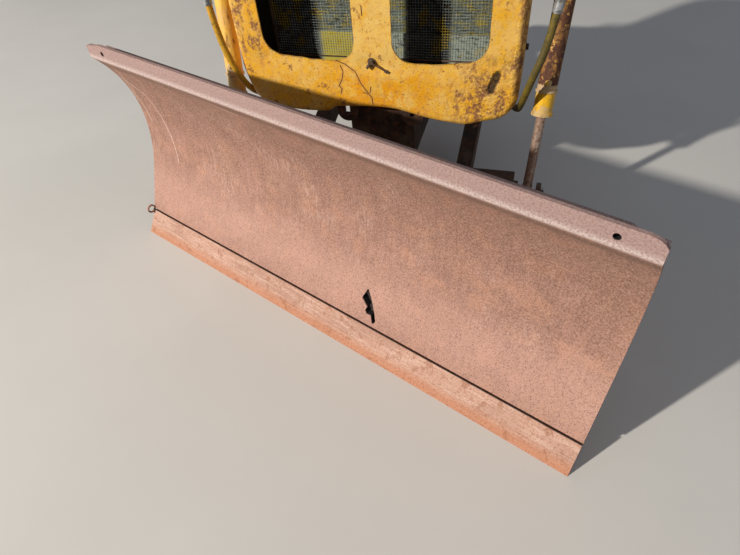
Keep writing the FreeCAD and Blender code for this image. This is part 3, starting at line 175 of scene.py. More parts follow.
# Bolts: their thread, how far those of the brackets stand in from the edges and above the lower ones, the
# heights of those in the radiator's channels, and the places of the hangers' and the pan's.
THREAD = 12 * MM
BOLT_INSET, BRACKET_RISE = 17 * MM, 115 * MM
CHANNEL_BOLTS = (0.10, 0.33, 0.68)
HANGER_BOLTS = ((-0.150, -0.040), (-0.150, 0.020), (-0.050, -0.040), (-0.050, 0.020))
PAN_BOLT_OUT, PAN_BOLTS = 0.222, (-0.93, -0.80, -0.66, -0.53)

# The photograph's camera: place, turns in degrees, lens and sensor in mm.
EYE = (0.5242, -2.8002, 0.8958)
EYE_LEFT, EYE_DOWN, EYE_ROLL = 19.223, 45.099, -5.66
LENS, SENSOR = 25.87, 36


def linear(code):
    """Linear colour from an sRGB hex value."""
    values = [int(code[start:start + 2], 16) / 255 for start in (0, 2, 4)]
    turned = [v / 12.92 if v <= 0.04045 else ((v + 0.055) / 1.055) ** 2.4 for v in values]
    return (*turned, 1.0)


class Amount:
    """A number in a node tree. Sums with it are plain sums, | takes the larger and & the smaller."""

    def __init__(self, tree, source, clamped=False):
        self.tree, self.source, self.clamped = tree, source, clamped

    def joined(self, operation, other=0.0):
        inputs = {0: self, 1: other}
        made = add(self.tree, "ShaderNodeMath", inputs, operation=operation, use_clamp=self.clamped)
        return Amount(self.tree, made, self.clamped)

    __add__ = partialmethod(joined, "ADD")
    __sub__ = partialmethod(joined, "SUBTRACT")
    __mul__ = partialmethod(joined, "MULTIPLY")
    __truediv__ = partialmethod(joined, "DIVIDE")
    __mod__ = partialmethod(joined, "MODULO")
    __or__ = partialmethod(joined, "MAXIMUM")
    __and__ = partialmethod(joined, "MINIMUM")
    __gt__ = partialmethod(joined, "GREATER_THAN")


def add(tree, kind, inputs=None, **settings):
    """Adds a node with its settings. An input takes a value, an amount, a socket or a node's first output."""
    made = tree.nodes.new(kind)
    for name, value in settings.items():
        setattr(made, name, value)
    for name, value in (inputs or {}).items():
        if isinstance(value, Amount):
            value = value.source
        if isinstance(value, bpy.types.Node):
            value = value.outputs[0]
        if isinstance(value, bpy.types.NodeSocket):
            tree.links.new(value, made.inputs[name])
        else:
            made.inputs[name].default_value = value
    return made


class Finish:
    """A material in the making. Its patterns go from 0 to 1 and read metres, in place's own axes."""

    def __init__(self, name, place=None):
        self.material = bpy.data.materials.new(name)
        self.material.use_nodes = True
        self.tree = self.material.node_tree
        self.tree.nodes.clear()
        self.where = add(self.tree, "ShaderNodeTexCoord").outputs["Object"]
        if place is not None:
            inputs = {"Vector": self.where, "Location": place.translation, "Rotation": place.to_euler()}
            self.where = add(self.tree, "ShaderNodeMapping", inputs, vector_type="TEXTURE")

    def clouds(self, size, detail=4.0, stretch=(1, 1, 1), shift=0.0):
        """Uneven pattern whose larger marks are size metres across."""
        scaled = [1 / (size * along) for along in stretch]
        inputs = {"Vector": self.where, "Location": (shift, shift, shift), "Scale": scaled}
        turned = add(self.tree, "ShaderNodeMapping", inputs)
        inputs = {"Vector": turned, "Scale": 1.0, "Detail": detail, "Roughness": 0.6}
        return Amount(self.tree, add(self.tree, "ShaderNodeTexNoise", inputs), clamped=True)

    def ramped(self, value, low, high):
        """0 below low, 1 above high, smooth between; low may be the larger, to turn it round."""
        inputs = {"Value": value, "From Min": low, "From Max": high}
        made = add(self.tree, "ShaderNodeMapRange", inputs, interpolation_type="SMOOTHSTEP")
        return Amount(self.tree, made, clamped=True)

    def patches(self, size, amount, edge=0.06, shift=0.0, stretch=(1, 1, 1)):
        """Spots of about size metres that cover a share of about amount."""
        level = 0.5 + (0.5 - amount) * 0.36
        return self.ramped(self.clouds(size, 5.0, stretch, shift), level - edge, level + edge)

    def between(self, axis, low, high, blur):
        """1 where a coordinate lies between low and high, fading over blur."""
        value = add(self.tree, "ShaderNodeSeparateXYZ", {"Vector": self.where}).outputs[axis]
        return self.ramped(value, low - blur, low + blur) * self.ramped(value, high + blur, high - blur)

    def around(self, centre, reach, blur):
        """1 within reach of a point, fading over blur."""
        offset = add(self.tree, "ShaderNodeVectorMath", {0: self.where, 1: centre}, operation="DISTANCE")
        return self.ramped(offset.outputs["Value"], reach + blur, reach)

    def stroke(self, points, half_width, blur):
        """1 along a line drawn through (x, z) points on an upright face, half_width to each side."""
        flat = add(self.tree, "ShaderNodeVectorMath", {0: self.where, 1: (1, 0, 1)}, operation="MULTIPLY")
        nearest = None
        for first, second in zip(points, points[1:]):
            start = Vector((first[0], 0, first[1]))
            run = Vector((second[0], 0, second[1])) - start
            offset = add(self.tree, "ShaderNodeVectorMath", {0: flat, 1: start}, operation="SUBTRACT")
            along = {0: offset, 1: run / run.length_squared}
            along = add(self.tree, "ShaderNodeVectorMath", along, operation="DOT_PRODUCT").outputs["Value"]
            along = add(self.tree, "ShaderNodeClamp", {"Value": along})
            foot = add(self.tree, "ShaderNodeVectorMath", {0: tuple(run), "Scale": along}, operation="SCALE")
            apart = add(self.tree, "ShaderNodeVectorMath", {0: offset, 1: foot}, operation="DISTANCE")
            apart = Amount(self.tree, apart.outputs["Value"], clamped=True)
            nearest = apart if nearest is None else nearest & apart
        return self.ramped(nearest, half_width + blur, half_width)

    def worn_edges(self, radius):
        """1 along the sharp edges of a piece, about radius metres wide."""
        rounded = add(self.tree, "ShaderNodeBevel", {"Radius": radius}, samples=6)
        straight = add(self.tree, "ShaderNodeNewGeometry").outputs["Normal"]
        likeness = add(self.tree, "ShaderNodeVectorMath", {0: rounded, 1: straight}, operation="DOT_PRODUCT")
        return self.ramped(likeness.outputs["Value"], 0.995, 0.90)

    def rust_relief(self):
        """Scale and pits of rusted steel: grains of 2 mm, scabs of 9 mm, waves of 60 mm."""
        return [
            (self.clouds(60 * MM, 2.0), 1.2 * MM),
            (self.clouds(9 * MM, 3.0, shift=3), 0.7 * MM),
            (self.clouds(2.4 * MM, 2.0, shift=7), 0.5 * MM),
        ]

    def coated(self, ground, coats, relief=()):
        """The material, of a ground (colour, roughness, metallic), coats over it (mask, then the same, with
        metallic left out where it is 0) and relief (height, depth)."""
        coats = [(*coat, 0.0)[:4] for coat in coats]
        inputs = {}
        for part, name in enumerate(("Base Color", "Roughness", "Metallic")):
            looks = [ground[part], *(coat[part + 1] for coat in coats)]
            if part == 0:
                looks = [linear(code) for code in looks]
            value = looks[0]
            if any(look != value for look in looks):
                kind, below, above, result = ("RGBA", 6, 7, 2) if part == 0 else ("FLOAT", 2, 3, 0)
                for coat, look in zip(coats, looks[1:]):
                    mixed = {0: coat[0], below: value, above: look}
                    value = add(self.tree, "ShaderNodeMix", mixed, data_type=kind).outputs[result]
            inputs[name] = value
        for height, depth in relief:
            bump = {"Height": height, "Strength": 1.0, "Distance": depth}
            if "Normal" in inputs:
                bump["Normal"] = inputs["Normal"]
            inputs["Normal"] = add(self.tree, "ShaderNodeBump", bump)
        shader = add(self.tree, "ShaderNodeBsdfPrincipled", inputs)
        add(self.tree, "ShaderNodeOutputMaterial", {"Surface": shader})
        return self.material


def make_blade_plate():
    """Hot-rolled plate, rusted right through its mill scale: matt pinkish brown, ground paler by soil.
    It carries painted light: a painted highlight along the lip's crease, and painted shade under the lip, in
    the groove above the cutting edge, through the tear and in the lip's bolt openings.
    """
    plate = Finish("rusted_blade_plate", BLADE)
    lip = plate.between("Z", LIP_START, 1.0, 2 * MM)
    # Painted highlight along the lip's lower crease, partly worn bare steel.
    bend_highlight = plate.between("Z", LIP_START - 2 * MM, LIP_START + 10 * MM, 11 * MM)
    # Painted shade just under the lip, where the mouldboard curves back from it.
    shade = plate.between("Z", 0.676, 0.700, 14 * MM)
    # Painted shade at the mouldboard's foot, darkening the groove above the cutting edge.
    foot = plate.between("Z", TOE_UP - 6 * MM, TOE_UP + 2 * MM, 1 * MM)
    swept = plate.between("Z", 0.20, 0.60, 0.08) * plate.patches(200 * MM, 0.35, 0.10, 14)
    swept = swept * plate.patches(9 * MM, 0.40, 0.10, 31, (0.8, 1, 4))
    deep, *faint = [plate.stroke(points, 1.0 * MM, 1.8 * MM) for points in BLADE_SCRATCHES]
    faint = faint[0] | faint[1] | faint[2]
    # Painted shade inside the lip's bolt openings, behind its face.
    hole = (LIP_START + LIP_TOP) / 2
    hole_shade = [[(side * LIP_HOLE_OUT, height) for height in (hole, hole + MM)] for side, _ in SIDES]
    hole_shade = [plate.stroke(points, 9.5 * MM, 0.5 * MM) for points in hole_shade]
    hole_shade = (hole_shade[0] | hole_shade[1]) * plate.between("Y", LIP_FACE + 2 * MM, 0.2, 1 * MM)
    # Painted shade: what is seen through the tear, from just behind the face to 23 mm back, is painted near
    # black.
    lean = (0, math.cos(TOE_LEAN), -math.sin(TOE_LEAN))
    face = TOE_BACK * lean[1] + TOE_UP * lean[2]
    behind = add(plate.tree, "ShaderNodeVectorMath", {0: plate.where, 1: lean}, operation="DOT_PRODUCT")
    behind = behind.outputs["Value"]
    tear_shade = plate.ramped(behind, face + 1 * MM, face + 4 * MM)
    tear_shade = tear_shade * plate.ramped(behind, face + 23 * MM, face + 22 * MM)
    tear_shade = tear_shade * plate.between("X", *TEAR_SIDES, 1 * MM) * plate.between("Z", *TEAR_HEIGHTS, 1 * MM)
    coats = [
        (plate.patches(320 * MM, 0.5, 0.12, stretch=(1.6, 1, 0.7)), "9a735f", 0.82),
        (plate.patches(90 * MM, 0.4, 0.12, shift=4), "a27868", 0.84),
        (plate.patches(26 * MM, 0.42, 0.1, 9, (0.6, 1, 7)) * 0.5, "7c5a4d", 0.86),
        (plate.patches(60 * MM, 0.30, 0.08, 12) * 0.5, "b07e62", 0.88),
        (plate.between("Z", 0.46, 0.70, 0.14) * 0.55, "6f4f3f", 0.78),
        (plate.between("Z", 0.09, 0.27, 0.10) * 0.5, "c89c8c", 0.8),
        (plate.patches(5 * MM, 0.45, 0.12) * 0.40, "c69c8c", 0.85),
        (plate.patches(4 * MM, 0.30, 0.06, 21) * 0.55, "5a3f35", 0.9),
        (swept * 0.30, "d0ae9e", 0.7),
        (deep * 0.6, "d8bcb0", 0.6),
        (faint * 0.6, "d6b69c", 0.6),
        (lip * 0.75, "a58c88", 0.72),
        (shade * 0.50, "544436", 0.86),
        (bend_highlight * 0.62, "e6d6d0", 0.6, 0.1),
        (lip * plate.patches(5 * MM, 0.40, 0.10, 41) * 0.65, "84645c", 0.85),
        (tear_shade, "0c0908", 0.95),
        (hole_shade, "0c0908", 0.95),
        (foot * 0.9, "140d0a", 0.95),
    ]
    return plate.coated(("8e6858", 0.84, 0.0), coats, plate.rust_relief())


def make_edge_steel():
    """High-carbon cutting edge, scoured by soil and freshly rusted: smoother and more orange low down."""
    steel = Finish("scoured_cutting_edge", BLADE)
    coats = [
        (steel.patches(120 * MM, 0.5, 0.12, stretch=(2, 1, 1)), "bc937f", 0.72),
        (steel.patches(14 * MM, 0.4, 0.08, 5, (8, 1, 0.5)) * 0.5, "d2b09e", 0.6),
        (steel.between("Z", -0.01, 0.026, 0.016) * 0.7, "ba7a55", 0.8),
        (steel.patches(5 * MM, 0.35, 0.08, 11) * 0.5, "8a563c", 0.85),
        (steel.patches(30 * MM, 0.2, 0.05, 17) * 0.5, "8e5a3c", 0.85),
        # Painted shade along the cutting edge's top, darkening the groove under the mouldboard.
        (steel.between("Z", EDGE_TOP - 2 * MM, EDGE_TOP + 4 * MM, 1 * MM) * 0.9, "140d0a", 0.95),
    ]
    return steel.coated(("ac8370", 0.7, 0.0), coats, steel.rust_relief())


def make_guard_enamel():
    """Brushed-on yellow enamel over rusted sheet: chalky where the sun bleached it, amber where not, and dark
    in the deep dent at the lower corner with rust and painted shade.
    """
    paint = Finish("chalky_yellow_enamel")
    low_corner = paint.around((0.42, -1.02, -0.02), 0.06, 0.16)
    left_band = paint.between("X", -0.52, -0.40, 0.03) * paint.between("Z", 0.10, 0.60, 0.06)
    flank = paint.between("X", 0.475, 0.6, 0.02)
    low = paint.between("Z", -0.10, 0.06, 0.04)
    middle = low * paint.around((0.02, -1.037, -0.01), 0.10, 0.16)
    blotches = paint.patches(40 * MM, 0.46, 0.06, 8, (0.8, 1, 1.5))
    rust = (low_corner + left_band + flank) * blotches * paint.patches(11 * MM, 0.62, 0.08, 9)
    scattered = paint.patches(34 * MM, 0.16, 0.02, 15) * paint.patches(8 * MM, 0.55, 0.06, 16)
    edges = paint.worn_edges(5 * MM) * paint.patches(22 * MM, 0.5, 0.06, 33)
    front = paint.between("Y", -1.06, -1.008, 6 * MM)
    pale = paint.between("X", -0.10, 0.10, 0.04) * paint.between("Z", 0.10, 0.80, 0.05)
    pale = pale * paint.patches(50 * MM, 0.75, 0.10, 51)
    # The deep dent at the lower corner: dark rust and painted shade; the same mask sinks its relief.
    shaded_hollow = paint.stroke([(0.427, 0.080), (0.410, 0.026)], 7 * MM, 11 * MM) * front
    shaded_hollow = shaded_hollow * paint.patches(9 * MM, 0.85, 0.12, 71)
    fold = paint.between("X", 0.484, 0.502, 8 * MM) * paint.patches(26 * MM, 0.6, 0.08, 81)
    lumps = paint.clouds(15 * MM, 2.0, shift=61) * (low_corner + flank)
    cracked, *others = [paint.stroke(points, 0.9 * MM, 1.2 * MM) for points in GUARD_CRACKS]
    for crack in others:
        cracked = cracked | crack
    cracked = cracked * front
    lifted = [paint.stroke(points, 5 * MM, 7 * MM) for points in GUARD_CRACKS[:2]]
    lifted = (lifted[0] | lifted[1]) * paint.patches(9 * MM, 0.55, 0.1, 27)
    coats = [
        (paint.patches(130 * MM, 0.46, 0.07, 1), "efae22", 0.42),
        (paint.patches(34 * MM, 0.40, 0.05, 6) * 0.75, "f3b72e", 0.4),
        (paint.patches(46 * MM, 0.55, 0.06, 26) * middle, "f0a414", 0.4),
        (pale * 0.55, "f6d27c", 0.5),
        (paint.patches(16 * MM, 0.4, 0.1, 5) * 0.35, "e0ae62", 0.6),
        (paint.patches(22 * MM, 0.26, 0.05, 45) * 0.5, "cf8f3c", 0.6),
        (low * paint.patches(7 * MM, 0.30, 0.03, 3) * 0.55, "b87a2c", 0.7),
        (scattered * 0.8, "8a552c", 0.85),
        (paint.patches(5 * MM, 0.10, 0.015, 19) * 0.8, "4a2c1c", 0.85),
        (rust * 0.85, "7d4c3c", 0.88),
        (lifted * 0.6, "c98a48", 0.7),
        (cracked * 0.95, "2a170e", 0.9),
        (fold * 0.75, "7a4e34", 0.85),
        (shaded_hollow * 0.95, "2c1b10", 0.88),
        (edges * 0.8, "6d3f28", 0.85),
    ]
    relief = [
        (paint.clouds(70 * MM, 2.0), 2.0 * MM),
        (paint.clouds(14 * MM, 3.0, shift=2), 0.6 * MM),
        (rust, -0.5 * MM),
        (scattered, -0.4 * MM),
        (cracked, -0.8 * MM),
        (lumps, 6 * MM),
        (shaded_hollow, -6 * MM),
    ]
    return paint.coated(("f0bf5c", 0.5, 0.0), coats, relief)


def make_frame_enamel():
    """The same enamel on the frame, under oil and road dirt: dull, with rust at every edge."""
    paint = Finish("dirty_yellow_enamel")
    chips = paint.patches(24 * MM, 0.25, 0.03, 6) * paint.patches(8 * MM, 0.6, 0.05, 7)
    edges = paint.worn_edges(5 * MM) * paint.patches(20 * MM, 0.6, 0.06, 12)
    coats = [
        (paint.patches(80 * MM, 0.4, 0.06, 1), "d79a28", 0.5),
        (paint.patches(90 * MM, 0.55, 0.10, 2) * 0.7, "6a4f2a", 0.85),
        (paint.patches(30 * MM, 0.4, 0.1, 4) * 0.5, "4d3a26", 0.9),
        (chips, "6a3c26", 0.88),
        (edges * 0.85, "5e3826", 0.8),
    ]
    relief = [(paint.clouds(40 * MM, 3.0), 1.0 * MM), (chips, -0.4 * MM)]
    return paint.coated(("c48a30", 0.6, 0.0), coats, relief)


def make_barrel_enamel():
    """Drawn steel tube: on one side of the machine rusted brown in spots and darkened all over with painted
    shade, on the other still yellow.
    """
    paint = Finish("rust_spotted_and_shaded_enamel")
    rusted_and_shaded_side = paint.between("X", 0.0, 1.0, 0.1)
    rust = paint.patches(30 * MM, 0.62, 0.06, 2, (0.7, 0.7, 1.8))
    mirrored = add(paint.tree, "ShaderNodeVectorMath", {0: paint.where}, operation="ABSOLUTE")
    apart = add(paint.tree, "ShaderNodeVectorMath", {0: mirrored, 1: COLLAR_MIRRORED}, operation="DISTANCE")
    collar = paint.ramped(apart.outputs["Value"], 43 * MM, 40 * MM)
    coats = [
        (paint.patches(60 * MM, 0.45, 0.06, 1), "efbd4a", 0.5),
        (paint.patches(40 * MM, 0.26, 0.05, 22, (0.7, 0.7, 1.8)) * 0.8, "8a5a34", 0.82),
        # Painted shade as well as rust: these coats darken the whole of the rusted side.
        (rusted_and_shaded_side * paint.patches(60 * MM, 0.88, 0.08, 31), "946830", 0.65),
        (rust * rusted_and_shaded_side, "623c28", 0.82),
        (paint.patches(12 * MM, 0.40, 0.05, 5) * 0.8 * rusted_and_shaded_side, "4a2c22", 0.88),
        (paint.patches(20 * MM, 0.20, 0.03, 13) * 0.8, "dda94e", 0.55),
        (collar * 0.8, "d2b48a", 0.55),
    ]
    relief = [(rust, -0.5 * MM), (paint.clouds(7 * MM, 3.0, shift=3), 0.5 * MM)]
    return paint.coated(("e4b45c", 0.55, 0.0), coats, relief)


def make_gland_enamel():
    """Turned gland nut with thick enamel left on it: bright yellow over a beige undercoat."""
    paint = Finish("beige_and_yellow_enamel")
    yellow = paint.patches(45 * MM, 0.58, 0.04, 3) * paint.between("X", 0.0, 1.0, 0.1)
    coats = [
        (paint.patches(40 * MM, 0.35, 0.06, 23) * 0.6, "d9b054", 0.5),
        (yellow, "f0b818", 0.4),
        (paint.patches(14 * MM, 0.25, 0.04, 9) * 0.7, "a8834e", 0.7),
        (paint.worn_edges(3 * MM) * 0.6, "d8c49c", 0.5),
        (paint.patches(6 * MM, 0.14, 0.02, 14) * 0.8, "5a3a22", 0.85),
    ]
    relief = [(yellow, 0.4 * MM), (paint.clouds(9 * MM, 3.0), 0.4 * MM)]
    return paint.coated(("cfae74", 0.55, 0.0), coats, relief)


def make_rod_chrome():
    """Hard chrome gone dull: brown film and pits over a smooth ground bar."""
    chrome = Finish("stained_rod_chrome")
    coats = [
        (chrome.patches(50 * MM, 0.6, 0.08, 1, (1, 1, 2)), "a88a76", 0.45, 0.4),
        (chrome.patches(12 * MM, 0.30, 0.05, 4), "84604a", 0.6, 0.2),
        (chrome.patches(4 * MM, 0.2, 0.03, 8), "3a2418", 0.85),
    ]
    return chrome.coated(("bca89a", 0.34, 0.6), coats, [(chrome.clouds(4 * MM, 2.0, shift=8), 0.2 * MM)])


def make_oily_steel():
    """Forgings and plate under oil and soil: nearly black, with brown rust showing and polished edges."""
    steel = Finish("oily_rusted_steel")
    coats = [
        (steel.patches(70 * MM, 0.5, 0.08, 1), "4d3527", 0.8),
        (steel.patches(22 * MM, 0.35, 0.06, 4), "63412d", 0.85),
        (steel.patches(120 * MM, 0.35, 0.10, 6) * 0.6, "6f5d49", 0.95),
        (steel.worn_edges(4 * MM) * 0.6, "7c6a5c", 0.5, 0.4),
    ]
    return steel.coated(("33261e", 0.6, 0.1), coats, steel.rust_relief())


def make_mesh_wire():
    """Galvanised wire, gone grey, with flakes of the guard's yellow on it."""
    wire = Finish("galvanised_mesh_wire")
    coats = [
        (wire.patches(60 * MM, 0.5, 0.08, 1), "7c827c", 0.6, 0.3),
        (wire.patches(60 * MM, 0.30, 0.03, 4), "c0a53a", 0.6),
        (wire.patches(25 * MM, 0.2, 0.03, 8), "5a4430", 0.85),
    ]
    return wire.coated(("a2aaa4", 0.5, 0.4), coats, [(wire.clouds(3 * MM), 0.1 * MM)])


def make_core_fins():
    """Copper fins under thin black radiator paint, with painted sunlight: grey-green strips where the sun
    falls in through the guard's windows, with dirt and flecks of yellow paint in them and the bottom tank's
    yellow-green showing only there.
    """
    fins = Finish("radiator_fins_painted_sunlight")
    # Painted sunlight: the strips behind the windows that the sun reaches; outside them the fins stay black.
    painted_sunlight = fins.between("X", -0.245, -0.09, 0.02)
    for low, high in ((0.0, 0.085), (0.245, 0.42)):
        painted_sunlight = painted_sunlight + fins.between("X", low, high, 0.012)
    painted_sunlight = painted_sunlight * fins.between("Y", -0.90, -0.85, 2 * MM)
    spray_in_painted_sunlight = fins.patches(40 * MM, 0.36, 0.04, 5, (1.6, 1, 0.22)) * painted_sunlight
    sunlit_tank_area = fins.between("X", -0.245, -0.12, 0.01) * fins.between("Z", 0.0, 0.149, 1 * MM)
    coats = [
        (painted_sunlight, "9aa498", 0.75),
        (painted_sunlight * fins.patches(24 * MM, 0.30, 0.08, 9, (1, 1, 0.4)), "4a524c", 0.85),
        (spray_in_painted_sunlight * fins.between("Z", 0.150, 1.0, 1 * MM) * 0.8, "c9ba5c", 0.7),
        (sunlit_tank_area * painted_sunlight, "b9ab3e", 0.6),
    ]
    return fins.coated(("141716", 0.8, 0.1), coats, [(fins.clouds(5 * MM, 2.0), 0.6 * MM)])


def make_hose_rubber():
    """Braid-backed rubber hose, brushed over with the yellow: bright yellow on one side, dark olive on the
    other, its ground darkened there as painted shade.
    """
    rubber = Finish("overpainted_hose_rubber")
    # Painted shade: the other side keeps the dark olive ground, made darker to stand for shade.
    yellow_unshaded_side = rubber.between("X", -1.0, 0.0, 0.1)
    coats = [
        (rubber.patches(50 * MM, 0.5, 0.08, 2), "6f5d1a", 0.6),
        (yellow_unshaded_side * 0.95, "dda522", 0.5),
        (yellow_unshaded_side * rubber.patches(40 * MM, 0.5, 0.08, 12) * 0.6, "b48816", 0.55),
        (rubber.patches(16 * MM, 0.22, 0.05, 5) * 0.7, "4a3d18", 0.8),
        (rubber.patches(6 * MM, 0.10, 0.02, 9), "1c1a14", 0.85),
    ]
    return rubber.coated(("584b18", 0.62, 0.0), coats, [(rubber.clouds(4 * MM), 0.3 * MM)])


def make_zinc_plate():
    """Zinc-plated steel: light grey, clouded white where the plating corrodes."""
    zinc = Finish("clouded_zinc_plate")
    coats = [
        (zinc.patches(18 * MM, 0.5, 0.10, 1), "b9bcbd", 0.5, 0.6),
        (zinc.patches(9 * MM, 0.2, 0.04, 5), "7c6a54", 0.75, 0.1),
    ]
    return zinc.coated(("93989a", 0.38, 0.85), coats, [(zinc.clouds(2 * MM), 0.08 * MM)])


def make_floor_finish():
    """Plain pale studio floor."""
    floor = Finish("pale_floor")
    return floor.coated(("cecbc5", 0.9, 0.0), [(floor.patches(900 * MM, 0.5, 0.2), "d3d0ca", 0.9)])


BLADE_PLATE = make_blade_plate()
EDGE_STEEL = make_edge_steel()
GUARD_ENAMEL = make_guard_enamel()
FRAME_ENAMEL = make_frame_enamel()
BARREL_ENAMEL = make_barrel_enamel()
GLAND_ENAMEL = make_gland_enamel()
ROD_CHROME = make_rod_chrome()
OILY_STEEL = make_oily_steel()
MESH_WIRE = make_mesh_wire()
CORE_FINS = make_core_fins()
HOSE_RUBBER = make_hose_rubber()
ZINC_PLATE = make_zinc_plate()
FLOOR_FINISH = make_floor_finish()

# Finish of each solid that shows as it is: the start of its name, and its material.
FINISHES = [
    ("cutting_edge", EDGE_STEEL),
    ("mouldboard", BLADE_PLATE),
    ("backing_bar", BLADE_PLATE),
    ("lip_", BLADE_PLATE),
    ("back_", BLADE_PLATE),
    ("pivot_", BLADE_PLATE),
    ("radiator_guard", GUARD_ENAMEL),
    ("radiator", CORE_FINS),
    ("cylinder_bracket", FRAME_ENAMEL),
    ("main_rail", FRAME_ENAMEL),
    ("front_cross_member", FRAME_ENAMEL),
    ("bulkhead", FRAME_ENAMEL),
    ("barrel", BARREL_ENAMEL),
    ("gland", GLAND_ENAMEL),
    ("rod_lug", OILY_STEEL),
    ("rod_", ROD_CHROME),
    ("mesh_", MESH_WIRE),
    ("feed_tube", ZINC_PLATE),
    ("hose_fitting", ZINC_PLATE),
    ("hose", HOSE_RUBBER),
]


def finish_solids():
    for name, node in NODES.items():
        material = next((made for start, made in FINISHES if name.startswith(start)), OILY_STEEL)
        node.data.materials.clear()
        node.data.materials.append(material)


def placed(name, data):
    """New object in the scene."""
    made = bpy.data.objects.new(name, data)
    bpy.context.scene.collection.objects.link(made)
    return made


def shown(name, mesh, body, material, smooth=35):
    """A finished piece: its material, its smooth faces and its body."""
    mesh.materials.clear()
    mesh.materials.append(material)
    if smooth:
        mesh.shade_smooth()
        mesh.set_sharp_from_angle(angle=math.radians(smooth))
    piece = placed(name, mesh)
    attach(piece, body)
    return piece


def plain_mesh(holder):
    """Mesh of what an object shows; the object is then removed."""
    seen = holder.evaluated_get(bpy.context.evaluated_depsgraph_get())
    mesh = bpy.data.meshes.new_from_object(seen)
    holder.modifiers.clear()
    bpy.data.objects.remove(holder)
    return mesh


def as_mesh(name, shape):
    """Mesh from a bmesh, its faces turned outwards."""
    bmesh.ops.recalc_face_normals(shape, faces=shape.faces)
    mesh = bpy.data.meshes.new(name)
    shape.to_mesh(mesh)
    shape.free()
    return mesh


def new_tree(name, **sizes):
    """Geometry Nodes tree with named inputs; also gives what they carry."""
    tree = bpy.data.node_groups.new(name, "GeometryNodeTree")
    for title, kind in sizes.items():
        tree.interface.new_socket(title, in_out="INPUT", socket_type=f"NodeSocket{kind}")
    tree.interface.new_socket("Geometry", in_out="OUTPUT", socket_type="NodeSocketGeometry")
    sockets = tree.nodes.new("NodeGroupInput").outputs
    return tree, {title: Amount(tree, sockets[title]) for title in sizes}


def close_tree(tree, geometry, material):
    """Makes a tree's instances real and gives them their material."""
    real = add(tree, "GeometryNodeRealizeInstances", {"Geometry": geometry})
    painted = add(tree, "GeometryNodeSetMaterial", {"Geometry": real, "Material": material})
    add(tree, "NodeGroupOutput", {"Geometry": painted})
    return tree


def grown(tree, base=None, **values):
    """Mesh that a tree makes from its named values, and from a base mesh where it reads one."""
    holder = placed(tree.name, base or bpy.data.meshes.new(tree.name))
    modifier = holder.modifiers.new("grow", "NODES")
    modifier.node_group = tree
    for item in tree.interface.items_tree:
        if item.in_out == "INPUT" and item.name != "Geometry":
            modifier[item.identifier] = values[item.name]
    return plain_mesh(holder)


def grow_wire_cloth():
    """Woven wire cloth: every wire goes over one crossing and under the next."""
    tree, given = new_tree(
        "woven_wire_cloth", Width="Float", Height="Float", Across="Int", Up="Int", Wire="Float",
        Material="Material",
    )
    sizes = {
        "Size X": given["Width"], "Size Y": given["Height"],
        "Vertices X": given["Across"], "Vertices Y": given["Up"],
    }
    grid = add(tree, "GeometryNodeMeshGrid", sizes)
    lines = add(tree, "GeometryNodeDeleteGeometry", {"Geometry": grid}, domain="FACE", mode="ONLY_FACE")
    turn = Amount(tree, add(tree, "GeometryNodeInputIndex")) % 2.0 - 0.5
    ends = add(tree, "GeometryNodeInputMeshEdgeVertices").outputs
    span = {0: ends["Position 1"], 1: ends["Position 2"]}
    span = add(tree, "ShaderNodeVectorMath", span, operation="SUBTRACT")
    span = add(tree, "ShaderNodeSeparateXYZ", {"Vector": span}).outputs
    profile = {"Resolution": 4, "Radius": given["Wire"] * 0.5}
    profile = add(tree, "GeometryNodeCurvePrimitiveCircle", profile)
    cloth = add(tree, "GeometryNodeJoinGeometry")
    for other, side in (("X", 1.0), ("Y", -1.0)):
        offset = add(tree, "ShaderNodeCombineXYZ", {"Z": turn * side * given["Wire"]})
        swayed = add(tree, "GeometryNodeSetPosition", {"Geometry": lines, "Offset": offset})
        one_way = {"Geometry": swayed, "Selection": Amount(tree, span[other]).joined("ABSOLUTE") > MM}
        one_way = add(tree, "GeometryNodeDeleteGeometry", one_way, domain="EDGE", mode="EDGE_FACE")
        path = add(tree, "GeometryNodeMeshToCurve", {"Mesh": one_way})
        drawn = {"Curve": path, "Profile Curve": profile, "Fill Caps": True}
        drawn = add(tree, "GeometryNodeCurveToMesh", drawn)
        tree.links.new(drawn.outputs["Mesh"], cloth.inputs[0])
    upright = add(tree, "GeometryNodeTransform", {"Geometry": cloth, "Rotation": (math.radians(90), 0, 0)})
    return close_tree(tree, upright, given["Material"])


def grow_row():
    """Like bars in a row."""
    tree, given = new_tree(
        "row_of_bars", Count="Int", Start="Vector", Step="Vector", Bar="Vector", Material="Material",
    )
    line = {"Count": given["Count"], "Start Location": given["Start"], "Offset": given["Step"]}
    line = add(tree, "GeometryNodeMeshLine", line)
    bar = add(tree, "GeometryNodeMeshCube", {"Size": given["Bar"]})
    bars = add(tree, "GeometryNodeInstanceOnPoints", {"Points": line, "Instance": bar})
    return close_tree(tree, bars, given["Material"])


